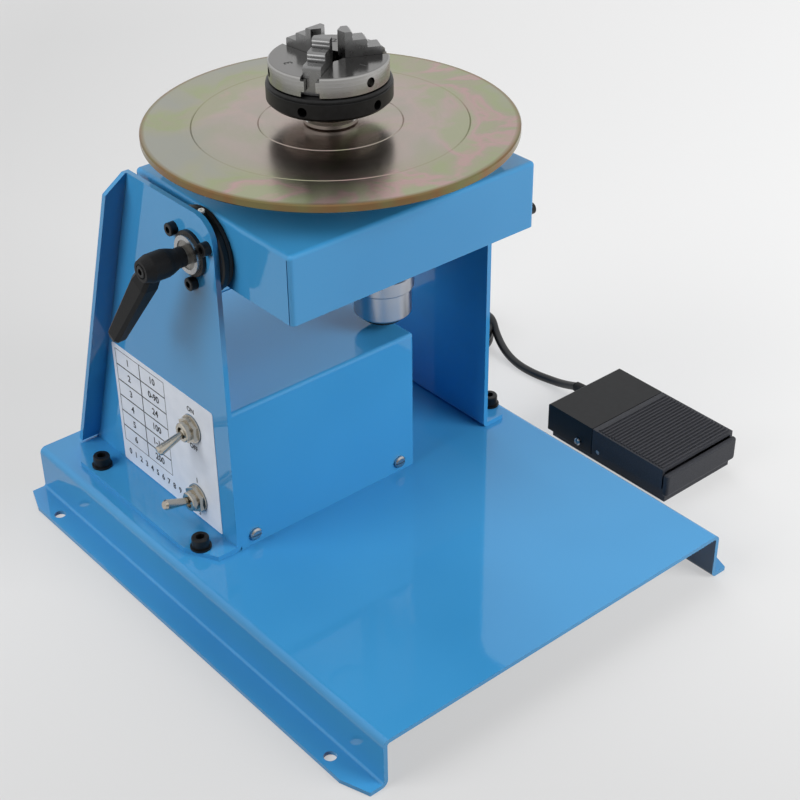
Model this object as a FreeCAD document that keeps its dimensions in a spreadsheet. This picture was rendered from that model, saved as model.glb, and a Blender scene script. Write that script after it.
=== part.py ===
"""Bench welding positioner: a motor turns a chuck and table on a head that tilts between uprights.

Frame: X from the switch side to the far upright, Y from the near edge to the back, Z up.
The origin is on the floor, at the centre of the base. Millimetres and degrees.
"""

import FreeCAD, Part
import math
import os
import re

import Sketcher
from FreeCAD import Placement, Rotation, Vector
from fcgear import fcgear, involute

DIMS = {
    # fits
    "fit_gap": 0.03,  # between pieces that are fastened together
    "run_gap": 0.05,  # radial clearance of a turning or sliding fit
    "side_gap": 0.3,  # between faces that pass each other
    # base: one folded sheet
    "base_length": 332,
    "base_width": 250,
    "base_height": 31,
    "base_sheet": 2.5,
    "base_foot": 15,
    "base_bend": 4,
    "foot_cut_across": 6,
    "foot_cut_along": 17,
    "bolt_spacing": 267,
    "bolt_radius": 3.5,
    # uprights: folded sheet, each with a foot and a slanted side flange
    "upright_sheet": 3,
    "left_face": -89,
    "right_face": 97,
    "upright_near": 1.6,
    "upright_top": 238,
    "top_far": 82.1,
    "bottom_far": 153.9,
    "upright_corner": 15,
    "side_flange": 15,
    "side_flange_cut": 11,
    "side_flange_lift": 5,
    "foot_flange": 23,
    "foot_flange_cut": 10,
    "foot_flange_near": 20,
    "foot_flange_far": 18,
    "foot_screw_in": 8,
    "foot_screw_near": 14.4,
    "foot_screw_pitch": 105,
    "upright_bend": 3.5,
    # tilting head: a folded box, open below
    "box_left": -82,
    "box_right": 83,
    "box_near": -48.7,
    "box_far": 87.6,
    "box_bottom": 196.6,
    "box_top": 235.3,
    "box_sheet": 2,
    "box_bend": 2.5,
    "box_seam": 0.6,
    # tilt axis
    "pivot_y": 21.5,
    "pivot_z": 213.7,
    "trunnion_radius": 8,
    "trunnion_plate": 16,
    "trunnion_plate_thick": 4,
    "stud_radius": 4,
    "stud_length": 18.5,
    "stud_shoulder": 5,
    "lever_stand": 2,
    "lock_stud": 6,
    "lever_screw_radius": 2,
    "lever_screw_length": 7,
    "lever_recess": 3.6,
    "lever_web": 6,
    "flange_radius": 23.5,
    "flange_thick": 4.2,
    "flange_screw": 2.15,
    "flange_screw_length": 7,
    "flange_screw_circle": 17.2,
    "washer_thick": 2,
    "black_washer_radius": 12.6,
    "zinc_washer_radius": 10.5,
    "lock_nut_flats": 19,
    "lock_nut_thick": 8,
    # clamping lever
    "lever_hub_length": 25,
    "lever_hub_radius": 7.6,
    "lever_neck": 5.4,
    "lever_arm_in": 7.4,
    "lever_arm_wide": 12.4,
    "lever_arm_thick": 11,
    "lever_tip_wide": 9.6,
    "lever_tip_thick": 8,
    "lever_chamfer": 1.8,
    "lever_length": 57,
    "lever_angle": 29.5,
    "lever_splay": 10.4,
    # spindle, table and bearings
    "bearing_bore": 10,
    "bearing_inner": 13,
    "bearing_shield": 15,
    "bearing_outer": 18.5,
    "bearing_thick": 9,
    "bearing_space": 2,
    "housing_radius": 26,
    "housing_flange": 34,
    "housing_flange_thick": 4,
    "housing_lip": 1,
    "housing_screw_circle": 30,
    "spindle_hole": 17,
    "spindle_collar": 14,
    "spindle_flange": 24,
    "spindle_flange_thick": 6,
    "table_radius": 100,
    "table_top": 259.8,
    "table_thick": 4.6,
    "table_bevel": 0.7,
    "groove_inner": 38.2,
    "groove_outer": 73.3,
    "groove_width": 0.9,
    "groove_depth": 0.5,
    # drive gears
    "gear_module": 1,
    "wheel_teeth": 48,
    "pinion_teeth": 18,
    "gear_thick": 8,
    "gear_backlash": 0.12,
    "gear_hub": 12.6,
    "wheel_hub_thick": 3.3,
    "gear_seat": 9,
    "end_washer": 12,
    "end_washer_thick": 1.5,
    "end_screw": 1.5,
    "end_screw_length": 6,
    # gear motor
    "motor_plate_thick": 3,
    "motor_plate_left": -43,
    "motor_plate_right": 70,
    "motor_plate_near": -21,
    "motor_plate_far": 64,
    "motor_plate_hole": 27,
    "motor_plate_drop": 32.3,
    "standoff_inset": 7,
    "standoff_radius": 4,
    "gearbox_radius": 18.3,
    "gearbox_length": 49,
    "can_radius": 16.8,
    "can_length": 17,
    "motor_cap_radius": 12,
    "motor_cap_length": 3.5,
    "motor_boss": 6,
    "motor_shaft": 3,
    "motor_screw_circle": 14,
    # three-jaw scroll chuck
    "hub_radius": 14,
    "hub_height": 10.7,
    "hub_spigot": 11,
    "back_plate_radius": 26,
    "back_plate_thick": 1.5,
    "ring_radius": 33.3,
    "ring_height": 11.8,
    "ring_step": 1.2,
    "core_radius": 19.5,
    "chuck_radius": 31.5,
    "chuck_height": 10.8,
    "chuck_bore": 8,
    "bar_hole": 2.6,
    "bar_hole_depth": 8,
    "ring_holes": 5,
    "jaw_count": 3,
    "jaw_angle": 214,
    "jaw_width": 9.6,
    "jaw_neck": 5.6,
    "jaw_gap": 0.2,
    "jaw_inner": 5,
    "jaw_second": 11.8,
    "jaw_third": 19.6,
    "jaw_outer": 27.4,
    "jaw_low_step": 4.4,
    "jaw_step": 4.5,
    "jaw_round": 1.2,
    "rail_low": 3,
    "rail_high": 9,
    # control box: one folded cover against the left upright
    "cover_right": 39.5,
    "cover_near": 1.6,
    "cover_far": 115,
    "cover_top": 123,
    "cover_sheet": 1.5,
    "cover_bend": 2,
    "bracket_height": 16,
    "cover_screw_height": 7,
    "cover_screw_inset": 9.5,
    "socket_x": -25,
    "socket_z": 62,
    "socket_radius": 8,
    "inlet_x": 12,
    "inlet_width": 27,
    "inlet_height": 20,
    # inside the control box
    "supply_left": -86,
    "supply_right": -40,
    "supply_near": 46,
    "supply_far": 97,
    "supply_height": 32,
    "board_left": -34,
    "board_right": 32,
    "board_near": 52,
    "board_far": 96,
    "board_lift": 8,
    "board_thick": 1.6,
    "board_inset": 4,
    # toggle switches
    "toggle_y": 37.8,
    "upper_toggle_z": 97,
    "lower_toggle_z": 49.2,
    "plate_space": 0.6,
    "bushing_radius": 5.8,
    "bushing_reach": 7,
    "bushing_bevel": 0.6,
    "toggle_washer": 8.6,
    "toggle_nut_flats": 14.4,
    "toggle_ball": 3.4,
    "toggle_ball_in": 3.2,
    "toggle_pocket": 7,
    "toggle_length": 20,
    "toggle_tilt": 16.5,
    # foot pedal
    "pedal_x": 182.8,
    "pedal_y": -54,
    "pedal_width": 65,
    "pedal_length": 102,
    "pedal_height": 28.6,
    "pedal_front_height": 28.2,
    "pedal_wall": 2.2,
    "pedal_floor": 2,
    "pedal_skirt": 8,
    "pedal_cover_share": 39,
    "pedal_lip": 3.2,
    "pedal_lip_top": 25.2,
    "pedal_lip_low": 9,
    "pedal_lip_corner": 2.5,
    "tread_space": 1.2,
    "pedal_tray_top": 16,
    "pedal_foot_radius": 6,
    "pedal_foot_height": 4,
    "pedal_foot_in": 14,
    "hinge_back": 44,
    "pedal_screw_back": 27,
    "pedal_screw_radius": 1.3,
    "hinge_height": 13,
    "hinge_pin": 1.6,
    "tread_rib_pitch": 2.6,
    "tread_rib_width": 1.2,
    "tread_rib_height": 0.9,
    # pedal cord
    "cord_radius": 2.75,
    "coil_x": 186,
    "coil_y": 136,
    "coil_radius": 28.5,
    "coil_layers": 3,
    "cord_entry_x": 197,
    "cord_entry_z": 12,
    "plug_radius": 8.5,
    "plug_length": 26,
    "boot_length": 20,
}

# The cord's route, from the plug's boot to the coil, and from the coil to the pedal.
REAR_ROUTE = [
    (-25, 162.2, 62), (-24.5, 177, 60), (-17, 190, 49), (-4, 200, 34), (13, 206, 18),
    (34, 207, 7), (58, 202, 2.9), (84, 196, 2.9), (110, 191, 2.9), (134, 184, 2.9),
    (158, 174, 2.9), (182, 168.5, 2.9),
]
FRONT_ROUTE = [
    (212, 119, 13.5), (205.5, 104, 9.5), (200, 90, 5), (197, 74, 2.9), (197, 58, 2.9),
    (199.5, 44, 3.2), (199.5, 30, 6), (197, 17, 12),
]

doc = FreeCAD.newDocument("welding_positioner")
sheet = doc.addObject("Spreadsheet::Sheet", "dims")
for row, (alias, size) in enumerate(DIMS.items(), start=1):
    sheet.set(f"A{row}", alias)
    sheet.set(f"B{row}", str(size))
    sheet.setAlias(f"B{row}", alias)
doc.recompute()

nodes = []  # the sub-parts, in the order they are built


def ex(text):
    """The expression with each driving dimension read from the sheet."""
    word = r"[a-z]+(_[a-z]+)+"
    return re.sub(word, lambda m: "dims." + m[0] if m[0] in DIMS else m[0], str(text))


def val(text):
    """What an expression comes to now."""
    found = sheet.evalExpression(ex(text))
    return float(getattr(found, "Value", found))


def keep(item, name):
    """Names a finished sub-part, so that it is checked and written."""
    item.Label = name
    nodes.append(item)
    return item


def place(item, x=0, y=0, z=0, turn=Rotation()):
    """Puts a sub-part where the expressions say, turned about its own origin."""
    item.Placement = Placement(Vector(), turn)
    for name, text in zip("xyz", (x, y, z)):
        item.setExpression(f"Placement.Base.{name}", ex(text))
    return item


# ---------------------------------------------------------------- sketches and features


def start_sketch(body, role, offset):
    sketch = body.newObject("Sketcher::SketchObject", "sketch")
    origin = [f for f in body.Origin.OriginFeatures if f.Role == role][0]
    sketch.AttachmentSupport = [(origin, "")]
    sketch.MapMode = "FlatFace"
    sketch.setExpression("AttachmentOffset.Base.z", ex(offset))
    return sketch


def bind(sketch, kind, geometry, vertex, text):
    """One driving size of a sketch, tied to the sheet."""
    if vertex is None:
        number = sketch.addConstraint(Sketcher.Constraint(kind, geometry, val(text)))
    else:
        number = sketch.addConstraint(Sketcher.Constraint(kind, geometry, vertex, val(text)))
    sketch.setExpression(f"Constraints[{number}]", ex(text))


def outline(body, role, corners, offset=0):
    """A closed outline of straight lines, each corner tied to the sheet."""
    sketch = start_sketch(body, role, offset)
    points = [Vector(val(u), val(v), 0) for u, v in corners]
    count = len(points)
    for i in range(count):
        sketch.addGeometry(Part.LineSegment(points[i], points[(i + 1) % count]))
    for i in range(count):
        sketch.addConstraint(Sketcher.Constraint("Coincident", i, 2, (i + 1) % count, 1))
    for i, (u, v) in enumerate(corners):
        bind(sketch, "DistanceX", i, 1, u)
        bind(sketch, "DistanceY", i, 1, v)
    return sketch


def rectangle(body, role, low_u, high_u, low_v, high_v, offset=0):
    corners = [(low_u, low_v), (high_u, low_v), (high_u, high_v), (low_u, high_v)]
    return outline(body, role, corners, offset)


def circles(body, role, rounds, offset=0):
    """A sketch of whole circles: centre, centre, radius."""
    sketch = start_sketch(body, role, offset)
    for i, (u, v, radius) in enumerate(rounds):
        centre = Vector(val(u), val(v), 0)
        sketch.addGeometry(Part.Circle(centre, Vector(0, 0, 1), val(radius)))
        bind(sketch, "DistanceX", i, 3, u)
        bind(sketch, "DistanceY", i, 3, v)
        bind(sketch, "Radius", i, None, radius)
    return sketch


def pad(body, sketch, length, back=False, both=False):
    feature = body.newObject("PartDesign::Pad", "pad")
    feature.Profile = sketch
    feature.setExpression("Length", ex(length))
    feature.Reversed = back
    feature.Midplane = both
    return feature


def pocket(body, sketch, length=None, back=False, both=False):
    """Cuts a sketch out of the body, through it all where no length is given."""
    feature = body.newObject("PartDesign::Pocket", "pocket")
    feature.Profile = sketch
    feature.Reversed = back
    feature.Midplane = both
    if length is None:
        feature.Type = "ThroughAll"
    else:
        feature.setExpression("Length", ex(length))
    return feature


def new_body(name, exported=True):
    body = doc.addObject("PartDesign::Body", name)
    return keep(body, name) if exported else body


def turned(name, profile, exported=True):
    """A body of revolution about its own Z: corners are radius and height."""
    body = new_body(name, exported)
    spin = body.newObject("PartDesign::Revolution", "turn")
    spin.Profile = outline(body, "XZ_Plane", profile)
    spin.ReferenceAxis = (spin.Profile[0], ["V_Axis"])
    spin.Angle = 360
    return body


def groove(body, profile):
    cut = body.newObject("PartDesign::Groove", "groove")
    cut.Profile = outline(body, "XZ_Plane", profile)
    cut.ReferenceAxis = (cut.Profile[0], ["V_Axis"])
    cut.Angle = 360
    return cut


def polar(body, feature, count):
    """Repeats a feature round the body's Z."""
    pattern = body.newObject("PartDesign::PolarPattern", "round")
    pattern.Originals = [feature]
    axis = [f for f in body.Origin.OriginFeatures if f.Role == "Z_Axis"][0]
    pattern.Axis = (axis, [""])
    pattern.Angle = 360
    pattern.setExpression("Occurrences", ex(count))
    body.Tip = pattern
    return pattern


def edges(shape, direction, points):
    """The names of the straight edges along a direction that pass through the points."""
    found = []
    along = Vector(*direction)
    for number, edge in enumerate(shape.Edges, start=1):
        if len(edge.Vertexes) != 2:
            continue
        start, end = (vertex.Point for vertex in edge.Vertexes)
        straight = abs(abs((end - start).dot(along)) - edge.Length) < 1e-6
        for point in points:
            away = Vector(*point) - start
            if straight and (away - along * away.dot(along)).Length < 0.01:
                found.append(f"Edge{number}")
    return found


def dress(body, kind, names, size):
    """Rounds or bevels the named edges of what the body is so far."""
    last = body.Tip
    feature = body.newObject(f"PartDesign::{kind}", kind.lower())
    feature.Base = (last, names)
    feature.setExpression("Radius" if kind == "Fillet" else "Size", ex(size))
    body.Tip = feature
    return feature


def bend(body, direction, points, radius):
    """Rounds a fold along the edges through the points."""
    doc.recompute()
    spots = [tuple(val(c) for c in point) for point in points]
    return dress(body, "Fillet", edges(body.Tip.Shape, direction, spots), radius)


def group(name, *sets):
    """Loose pieces that share one node: each set is a piece and its places."""
    links = []
    for master, places in sets:
        for x, y, z, turn in places:
            link = doc.addObject("App::Link", f"{name}_piece")
            link.LinkedObject = master
            place(link, x, y, z, turn)
            links.append(link)
    compound = doc.addObject("Part::Compound", name)
    compound.Links = links
    return keep(compound, name)


def hexagon(body, flats, offset=0):
    """A six-sided outline about the body's Z, by its width over flats."""
    reach = f"({flats}) / 2 / cos(30)"
    corners = [(f"{reach} * cos({60 * i})", f"{reach} * sin({60 * i})") for i in range(6)]
    return outline(body, "XY_Plane", corners, offset)


# Axes of the pieces that point sideways: their own Z turned to the row's -X, +X or +Y.
TO_LEFT = Rotation(Vector(0, 1, 0), -90)
TO_RIGHT = Rotation(Vector(0, 1, 0), 90)
TO_BACK = Rotation(Vector(1, 0, 0), -90)
TO_FRONT = Rotation(Vector(1, 0, 0), 90)
UPRIGHT = Rotation()
DOWN = Rotation(Vector(1, 0, 0), 180)


# ---------------------------------------------------------------- fasteners


def cap_screw(name, radius, length, exported=False):
    """Socket-head cap screw: the head stands above Z = 0 and the shank points down."""
    head = 1.7 * radius
    profile = [
        (0, -length), (radius * 0.85, -length), (radius, -length + radius * 0.3),
        (radius, 0), (head, 0), (head, radius * 1.8), (head - 0.4, radius * 2), (0, radius * 2),
    ]
    body = turned(name, profile, exported)
    pocket(body, hexagon(body, radius * 1.6, radius * 2), radius)
    return body


def pan_screw(name, radius, length, exported=False):
    """Pan-head screw: the head stands above Z = 0 and the shank points down."""
    head = 1.9 * radius
    profile = [
        (0, -length), (radius, -length), (radius, 0), (head, 0),
        (head, radius * 0.7), (head * 0.75, radius * 1.15), (0, radius * 1.25),
    ]
    body = turned(name, profile, exported)
    slot = rectangle(body, "XY_Plane", -head, head, -0.3, 0.3, radius * 1.25)
    pocket(body, slot, radius * 0.6)
    return body


def washer(name, outer, inner, thick, exported=False):
    corners = [(inner, 0), (outer, 0), (outer, thick), (inner, thick)]
    return turned(name, corners, exported)


def nut(name, flats, bore, thick, exported=False):
    body = new_body(name, exported)
    pad(body, hexagon(body, flats), thick)
    pocket(body, circles(body, "XY_Plane", [(0, 0, bore)]), both=True)
    return body


# ---------------------------------------------------------------- base and uprights


def base_plate():
    """A hat section: a top on two legs, with feet turned out and cut back at their ends."""
    body = new_body("base_plate")
    leg, foot = "base_width / 2", "base_width / 2 + base_foot"
    inside = "base_width / 2 - base_sheet"
    under = "base_height - base_sheet"
    corners = [
        (foot, 0), (foot, "base_sheet"), (leg, "base_sheet"), (leg, "base_height"),
        (f"-({leg})", "base_height"), (f"-({leg})", "base_sheet"),
        (f"-({foot})", "base_sheet"), (f"-({foot})", 0),
        (f"-({inside})", 0), (f"-({inside})", under), (inside, under), (inside, 0),
    ]
    pad(body, outline(body, "XZ_Plane", corners), "base_length", both=True)
    small = "base_bend - base_sheet"
    outer = [(f"{s} * ({u})", 0, v) for s in (1, -1) for u, v in ((leg, "base_height"), (inside, 0))]
    inner = [(f"{s} * ({u})", 0, v) for s in (1, -1) for u, v in ((inside, under), (leg, "base_sheet"))]
    bend(body, (0, 1, 0), outer, "base_bend")
    bend(body, (0, 1, 0), inner, small)
    end = "base_length / 2"
    for s in (1, -1):
        for t in (1, -1):
            cut = outline(body, "XY_Plane", [
                (f"{s} * ({foot} + 1)", f"{t} * ({end} - foot_cut_along)"),
                (f"{s} * ({foot})", f"{t} * ({end} - foot_cut_along)"),
                (f"{s} * ({foot} - foot_cut_across)", f"{t} * {end}"),
                (f"{s} * ({foot} - foot_cut_across)", f"{t} * ({end} + 1)"),
                (f"{s} * ({foot} + 1)", f"{t} * ({end} + 1)"),
            ])
            pocket(body, cut, both=True)
    half = "bolt_spacing / 2"
    rounds = [(f"{s} * {half}", f"{t} * {half}", "bolt_radius") for s in (1, -1) for t in (1, -1)]
    pocket(body, circles(body, "XY_Plane", rounds), both=True)
    rounds = [(x, y, 3 + val("fit_gap")) for x, y in FOOT_SCREWS]
    pocket(body, circles(body, "XY_Plane", rounds, "base_height"), "base_sheet * 2", both=True)
    return body


LEFT_OUTER = "left_face - upright_sheet"
RIGHT_OUTER = "right_face + upright_sheet"
FOOT_X = {-1: f"({LEFT_OUTER} - foot_flange + foot_screw_in)",
          1: f"({RIGHT_OUTER} + foot_flange - foot_screw_in)"}
FOOT_Y = ["upright_near + foot_screw_near", "upright_near + foot_screw_near + foot_screw_pitch"]
FOOT_SCREWS = [(FOOT_X[s], y) for s in (-1, 1) for y in FOOT_Y]


def upright(name, s, inner, outer):
    """A cheek with a foot and a flange along its slanted back edge, both turned outward."""
    body = new_body(name)
    low, top = "base_height", "upright_top"
    pad(body, outline(body, "YZ_Plane", [
        ("upright_near", low), ("bottom_far", low), ("top_far", top), ("upright_near", top),
    ], inner), "upright_sheet", back=(s < 0))
    doc.recompute()
    corner = (val(inner), val("upright_near"), val(top))
    dress(body, "Fillet", edges(body.Tip.Shape, (1, 0, 0), [corner]), "upright_corner")
    slope = "((bottom_far - top_far) / (upright_top - base_height))"
    across = f"(upright_sheet * sqrt(1 + {slope}^2))"
    start = "(base_height + side_flange_lift)"
    pad(body, outline(body, "YZ_Plane", [
        (f"bottom_far - side_flange_lift * {slope} - {across}", start),
        (f"bottom_far - side_flange_lift * {slope}", start),
        ("top_far", top), (f"top_far - {across}", top),
    ], inner), "side_flange", back=(s < 0))
    end = f"({inner} + {s} * (upright_sheet + foot_flange))"
    cut = f"({end} - {s} * foot_flange_cut)"
    pad(body, outline(body, "XY_Plane", [
        (inner, "upright_near"), (cut, "upright_near"),
        (end, "upright_near + foot_flange_near"),
        (end, "bottom_far - foot_flange_far - upright_sheet"),
        (cut, "bottom_far - upright_sheet"), (inner, "bottom_far - upright_sheet"),
    ], low), "upright_sheet")
    bend(body, (0, 1, 0), [(inner, 0, low)], "upright_bend")
    edge = f"({inner} + {s} * side_flange)"
    shave = outline(body, "XZ_Plane", [
        (f"{edge} + {s} * 1", f"{top} - side_flange_cut"), (edge, f"{top} - side_flange_cut"),
        (f"{edge} - {s} * side_flange_cut", top), (f"{edge} - {s} * side_flange_cut", f"{top} + 1"),
        (f"{edge} + {s} * 1", f"{top} + 1"),
    ])
    pocket(body, shave, both=True)
    rounds = [(x, y, 3 + val("fit_gap")) for x, y in FOOT_SCREWS if x == FOOT_X[s]]
    pocket(body, circles(body, "XY_Plane", rounds, low), "upright_sheet * 2", both=True)
    rounds = [("pivot_y", "pivot_z", "trunnion_radius + run_gap")]
    rounds += [(y, z, "flange_screw + fit_gap") for y, z in FLANGE_SCREWS]
    if s < 0:
        rounds += [("toggle_y", z, "bushing_radius + side_gap / 2") for z in TOGGLE_Z]
    pocket(body, circles(body, "YZ_Plane", rounds, outer), "upright_sheet * 4", both=True)
    return body


FLANGE_SCREWS = [
    (f"pivot_y + flange_screw_circle * cos({a})", f"pivot_z + flange_screw_circle * sin({a})")
    for a in (30, 150, 270)
]
TOGGLE_Z = ["upper_toggle_z", "lower_toggle_z"]


def foot_fasteners():
    screw = cap_screw("foot_screw", 3, 12)
    ring = washer("foot_washer", 6.2, 3.05, 1.2)
    hex_nut = nut("foot_nut", 10, 3.03, 5)
    top = "base_height + upright_sheet"
    under = "base_height - base_sheet - 5"
    group(
        "upright_foot_fasteners",
        (ring, [(x, y, top, UPRIGHT) for x, y in FOOT_SCREWS]),
        (screw, [(x, y, f"{top} + 1.2", UPRIGHT) for x, y in FOOT_SCREWS]),
        (hex_nut, [(x, y, under, UPRIGHT) for x, y in FOOT_SCREWS]),
    )


def pivot_flanges():
    """The black rings that the head's trunnions turn in, screwed to the uprights from outside."""
    for name, face in (("left_pivot_flange", "left_face"), ("right_pivot_flange", "right_face")):
        left = name.startswith("left")
        thick = "flange_thick" if left else "right_face - box_right - side_gap"
        bore = "trunnion_radius + run_gap"
        body = turned(name, [
            (bore, 0), ("flange_radius - 0.8", 0), ("flange_radius", 0.8),
            ("flange_radius", f"{thick} - 0.8"), ("flange_radius - 0.8", thick), (bore, thick),
        ])
        rounds = []
        for a in (30, 150, 270):
            flip = 1 if left else -1
            rounds.append((f"-{flip} * flange_screw_circle * sin({a})",
                           f"flange_screw_circle * cos({a})", "flange_screw + fit_gap"))
        pocket(body, circles(body, "XY_Plane", rounds), "flange_screw_length", back=True)
        place(body, face, "pivot_y", "pivot_z", TO_RIGHT if left else TO_LEFT)
    screw = cap_screw("flange_screw", val("flange_screw"), val("flange_screw_length"))
    places = [(LEFT_OUTER, y, z, TO_LEFT) for y, z in FLANGE_SCREWS]
    places += [(RIGHT_OUTER, y, z, TO_RIGHT) for y, z in FLANGE_SCREWS]
    group("pivot_flange_screws", (screw, places))


# ---------------------------------------------------------------- tilting head


def tilt_box():
    """A folded box, open below, with its corners butted and a narrow seam down each."""
    body = new_body("tilt_box")
    pad(body, rectangle(body, "XY_Plane", "box_left", "box_right", "box_near", "box_far",
                        "box_bottom"), "box_top - box_bottom")
    pocket(body, rectangle(body, "XY_Plane", "box_left + box_sheet", "box_right - box_sheet",
                           "box_near + box_sheet", "box_far - box_sheet", "box_bottom"),
           "box_top - box_bottom - box_sheet", back=True)
    bend(body, (1, 0, 0), [(0, "box_near", "box_top"), (0, "box_far", "box_top")], "box_bend")
    bend(body, (0, 1, 0), [("box_left", 0, "box_top"), ("box_right", 0, "box_top")], "box_bend")
    for x, s in (("box_left", 1), ("box_right", -1)):
        for y, t in (("box_near", 1), ("box_far", -1)):
            seam = rectangle(
                body, "XY_Plane",
                f"{x} - {s}", f"{x} + {s} * (box_sheet + 1)",
                f"{y} + {t} * box_sheet", f"{y} + {t} * (box_sheet + box_seam)", "box_bottom",
            )
            pocket(body, seam, "box_top - box_bottom - box_bend", back=True)
    rounds = [(0, "pivot_y", "spindle_hole")]
    rounds += [(x, y, 2.5 + val("fit_gap")) for x, y in HOUSING_SCREWS]
    rounds += [(x, y, 2 + val("fit_gap")) for x, y in STANDOFFS]
    pocket(body, circles(body, "XY_Plane", rounds, "box_top"), "box_sheet * 4", both=True)
    rounds = [("pivot_y", "pivot_z", "trunnion_radius + fit_gap")]
    pocket(body, circles(body, "YZ_Plane", rounds), both=True)
    return body


HOUSING_SCREWS = [
    (f"housing_screw_circle * cos({a})", f"pivot_y + housing_screw_circle * sin({a})")
    for a in (0, 90, 180, 270)
]
STANDOFFS = [
    (x, y)
    for x in ("motor_plate_left + standoff_inset", "motor_plate_right - standoff_inset")
    for y in ("motor_plate_near + standoff_inset", "motor_plate_far - standoff_inset")
]


def trunnions():
    """Stub shafts bolted inside the head's side walls; the left one ends in the lever's stud."""
    wall, plate = "box_sheet", "trunnion_plate_thick"
    left_run = f"box_left - (left_face) + upright_sheet + washer_thick * 2 - 0.5"
    right_run = "right_face - box_right + upright_sheet + washer_thick - 0.3"
    seat = f"{left_run} + 0.5 + lever_stand"
    for name, run, stud, tail in (
        ("left_trunnion", left_run, "stud_radius", "stud_length"),
        ("right_trunnion", right_run, "lock_stud", "lock_nut_thick + 3"),
    ):
        shoulder = [("stud_shoulder", run), ("stud_shoulder", seat), (stud, seat)]
        end = f"{seat} + {tail}" if name == "left_trunnion" else f"{run} + {tail}"
        body = turned(name, [
            (0, f"-{wall} - {plate}"), ("trunnion_plate", f"-{wall} - {plate}"),
            ("trunnion_plate", f"-{wall}"), ("trunnion_radius", f"-{wall}"),
            ("trunnion_radius", run), *(shoulder if name == "left_trunnion" else [(stud, run)]),
            (stud, f"{end} - 1"), (f"{stud} - 1", end), (0, end),
        ])
        if name == "left_trunnion":
            tapped = circles(body, "XY_Plane", [(0, 0, "lever_screw_radius + fit_gap")], end)
            pocket(body, tapped, "lever_screw_length")
            place(body, "box_left", "pivot_y", "pivot_z", TO_LEFT)
        else:
            place(body, "box_right", "pivot_y", "pivot_z", TO_RIGHT)
    ring = washer("thrust_washer", "black_washer_radius", "trunnion_radius + run_gap", "washer_thick")
    group("pivot_thrust_washers", (ring, [
        (LEFT_OUTER, "pivot_y", "pivot_z", TO_LEFT),
        (RIGHT_OUTER, "pivot_y", "pivot_z", TO_RIGHT),
    ]))
    ring = washer("lever_washer", "zinc_washer_radius", "trunnion_radius + run_gap", "washer_thick", True)
    place(ring, f"{LEFT_OUTER} - washer_thick", "pivot_y", "pivot_z", TO_LEFT)
    locking = nut("pivot_lock_nut", "lock_nut_flats", "lock_stud + fit_gap", "lock_nut_thick", True)
    place(locking, f"{RIGHT_OUTER} + washer_thick + side_gap", "pivot_y", "pivot_z", TO_RIGHT)


def clamp_lever():
    """A moulded lever: a necked hub on the stud and a flat-sided arm that hangs from its outer end."""
    body = new_body("clamp_lever")
    bore = "stud_radius + run_gap"
    hub, rad = "lever_hub_length", "lever_hub_radius"
    bottom = f"{hub} - lever_recess"
    thread = "lever_screw_radius + fit_gap"
    spin = body.newObject("PartDesign::Revolution", "turn")
    spin.Profile = outline(body, "XZ_Plane", [
        (bore, 0), ("lever_neck", 0), ("lever_neck", 4), (f"{rad} - 0.6", 8.5), (rad, 11),
        (rad, f"{hub} - 5"), (f"{rad} - 1.8", hub),
        ("lever_screw_radius * 2", hub), ("lever_screw_radius * 2", bottom), (thread, bottom),
        (thread, f"{hub} - lever_web"), (bore, f"{hub} - lever_web"),
    ])
    spin.ReferenceAxis = (spin.Profile[0], ["V_Axis"])
    spin.Angle = 360
    arm = body.newObject("PartDesign::AdditiveLoft", "arm")
    sections = []
    for share, wide, thick in (
        (0.085, "lever_arm_wide - 2", "lever_arm_thick - 1"), (0.2, "lever_arm_wide", "lever_arm_thick"),
        (0.95, "lever_tip_wide", "lever_tip_thick"), (1, "lever_tip_wide - 2.4", "lever_tip_thick - 2.4"),
    ):
        middle = f"{hub} - lever_arm_in + lever_splay * {share}"
        u, v, c = f"({wide}) / 2", f"({thick}) / 2", "lever_chamfer"
        sections.append(outline(body, "YZ_Plane", [
            (f"{u} - {c}", f"{middle} - {v}"), (u, f"{middle} - {v} + {c}"),
            (u, f"{middle} + {v} - {c}"), (f"{u} - {c}", f"{middle} + {v}"),
            (f"{c} - {u}", f"{middle} + {v}"), (f"-{u}", f"{middle} + {v} - {c}"),
            (f"-{u}", f"{middle} - {v} + {c}"), (f"{c} - {u}", f"{middle} - {v}"),
        ], f"-lever_length * {share}"))
    arm.Profile = sections[0]
    arm.Sections = sections[1:]
    arm.Ruled = True
    lean = Rotation(Vector(1, 0, 0), val("lever_angle")) * TO_LEFT
    seat = f"{LEFT_OUTER} - washer_thick * 2 - run_gap - lever_stand"
    place(body, seat, "pivot_y", "pivot_z", lean)
    screw = cap_screw("lever_screw", val("lever_screw_radius"), val("lever_screw_length"), True)
    place(screw, f"{seat} - {hub} + lever_recess", "pivot_y", "pivot_z", TO_LEFT)


# ---------------------------------------------------------------- spindle and drive

HOUSING_TOP = "(box_top - box_sheet)"
LOWER_RACE = f"({HOUSING_TOP} - bearing_thick * 2 - bearing_space)"
WHEEL_TOP = f"({LOWER_RACE} - wheel_hub_thick)"
WHEEL_LOW = f"({WHEEL_TOP} - gear_thick)"
CENTRES = "(gear_module * (wheel_teeth + pinion_teeth) / 2 + gear_backlash)"
PLATE_LOW = f"({HOUSING_TOP} - motor_plate_drop - motor_plate_thick)"


def on_spindle(body, z=0, turn=UPRIGHT):
    return place(body, 0, "pivot_y", z, turn)


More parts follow.
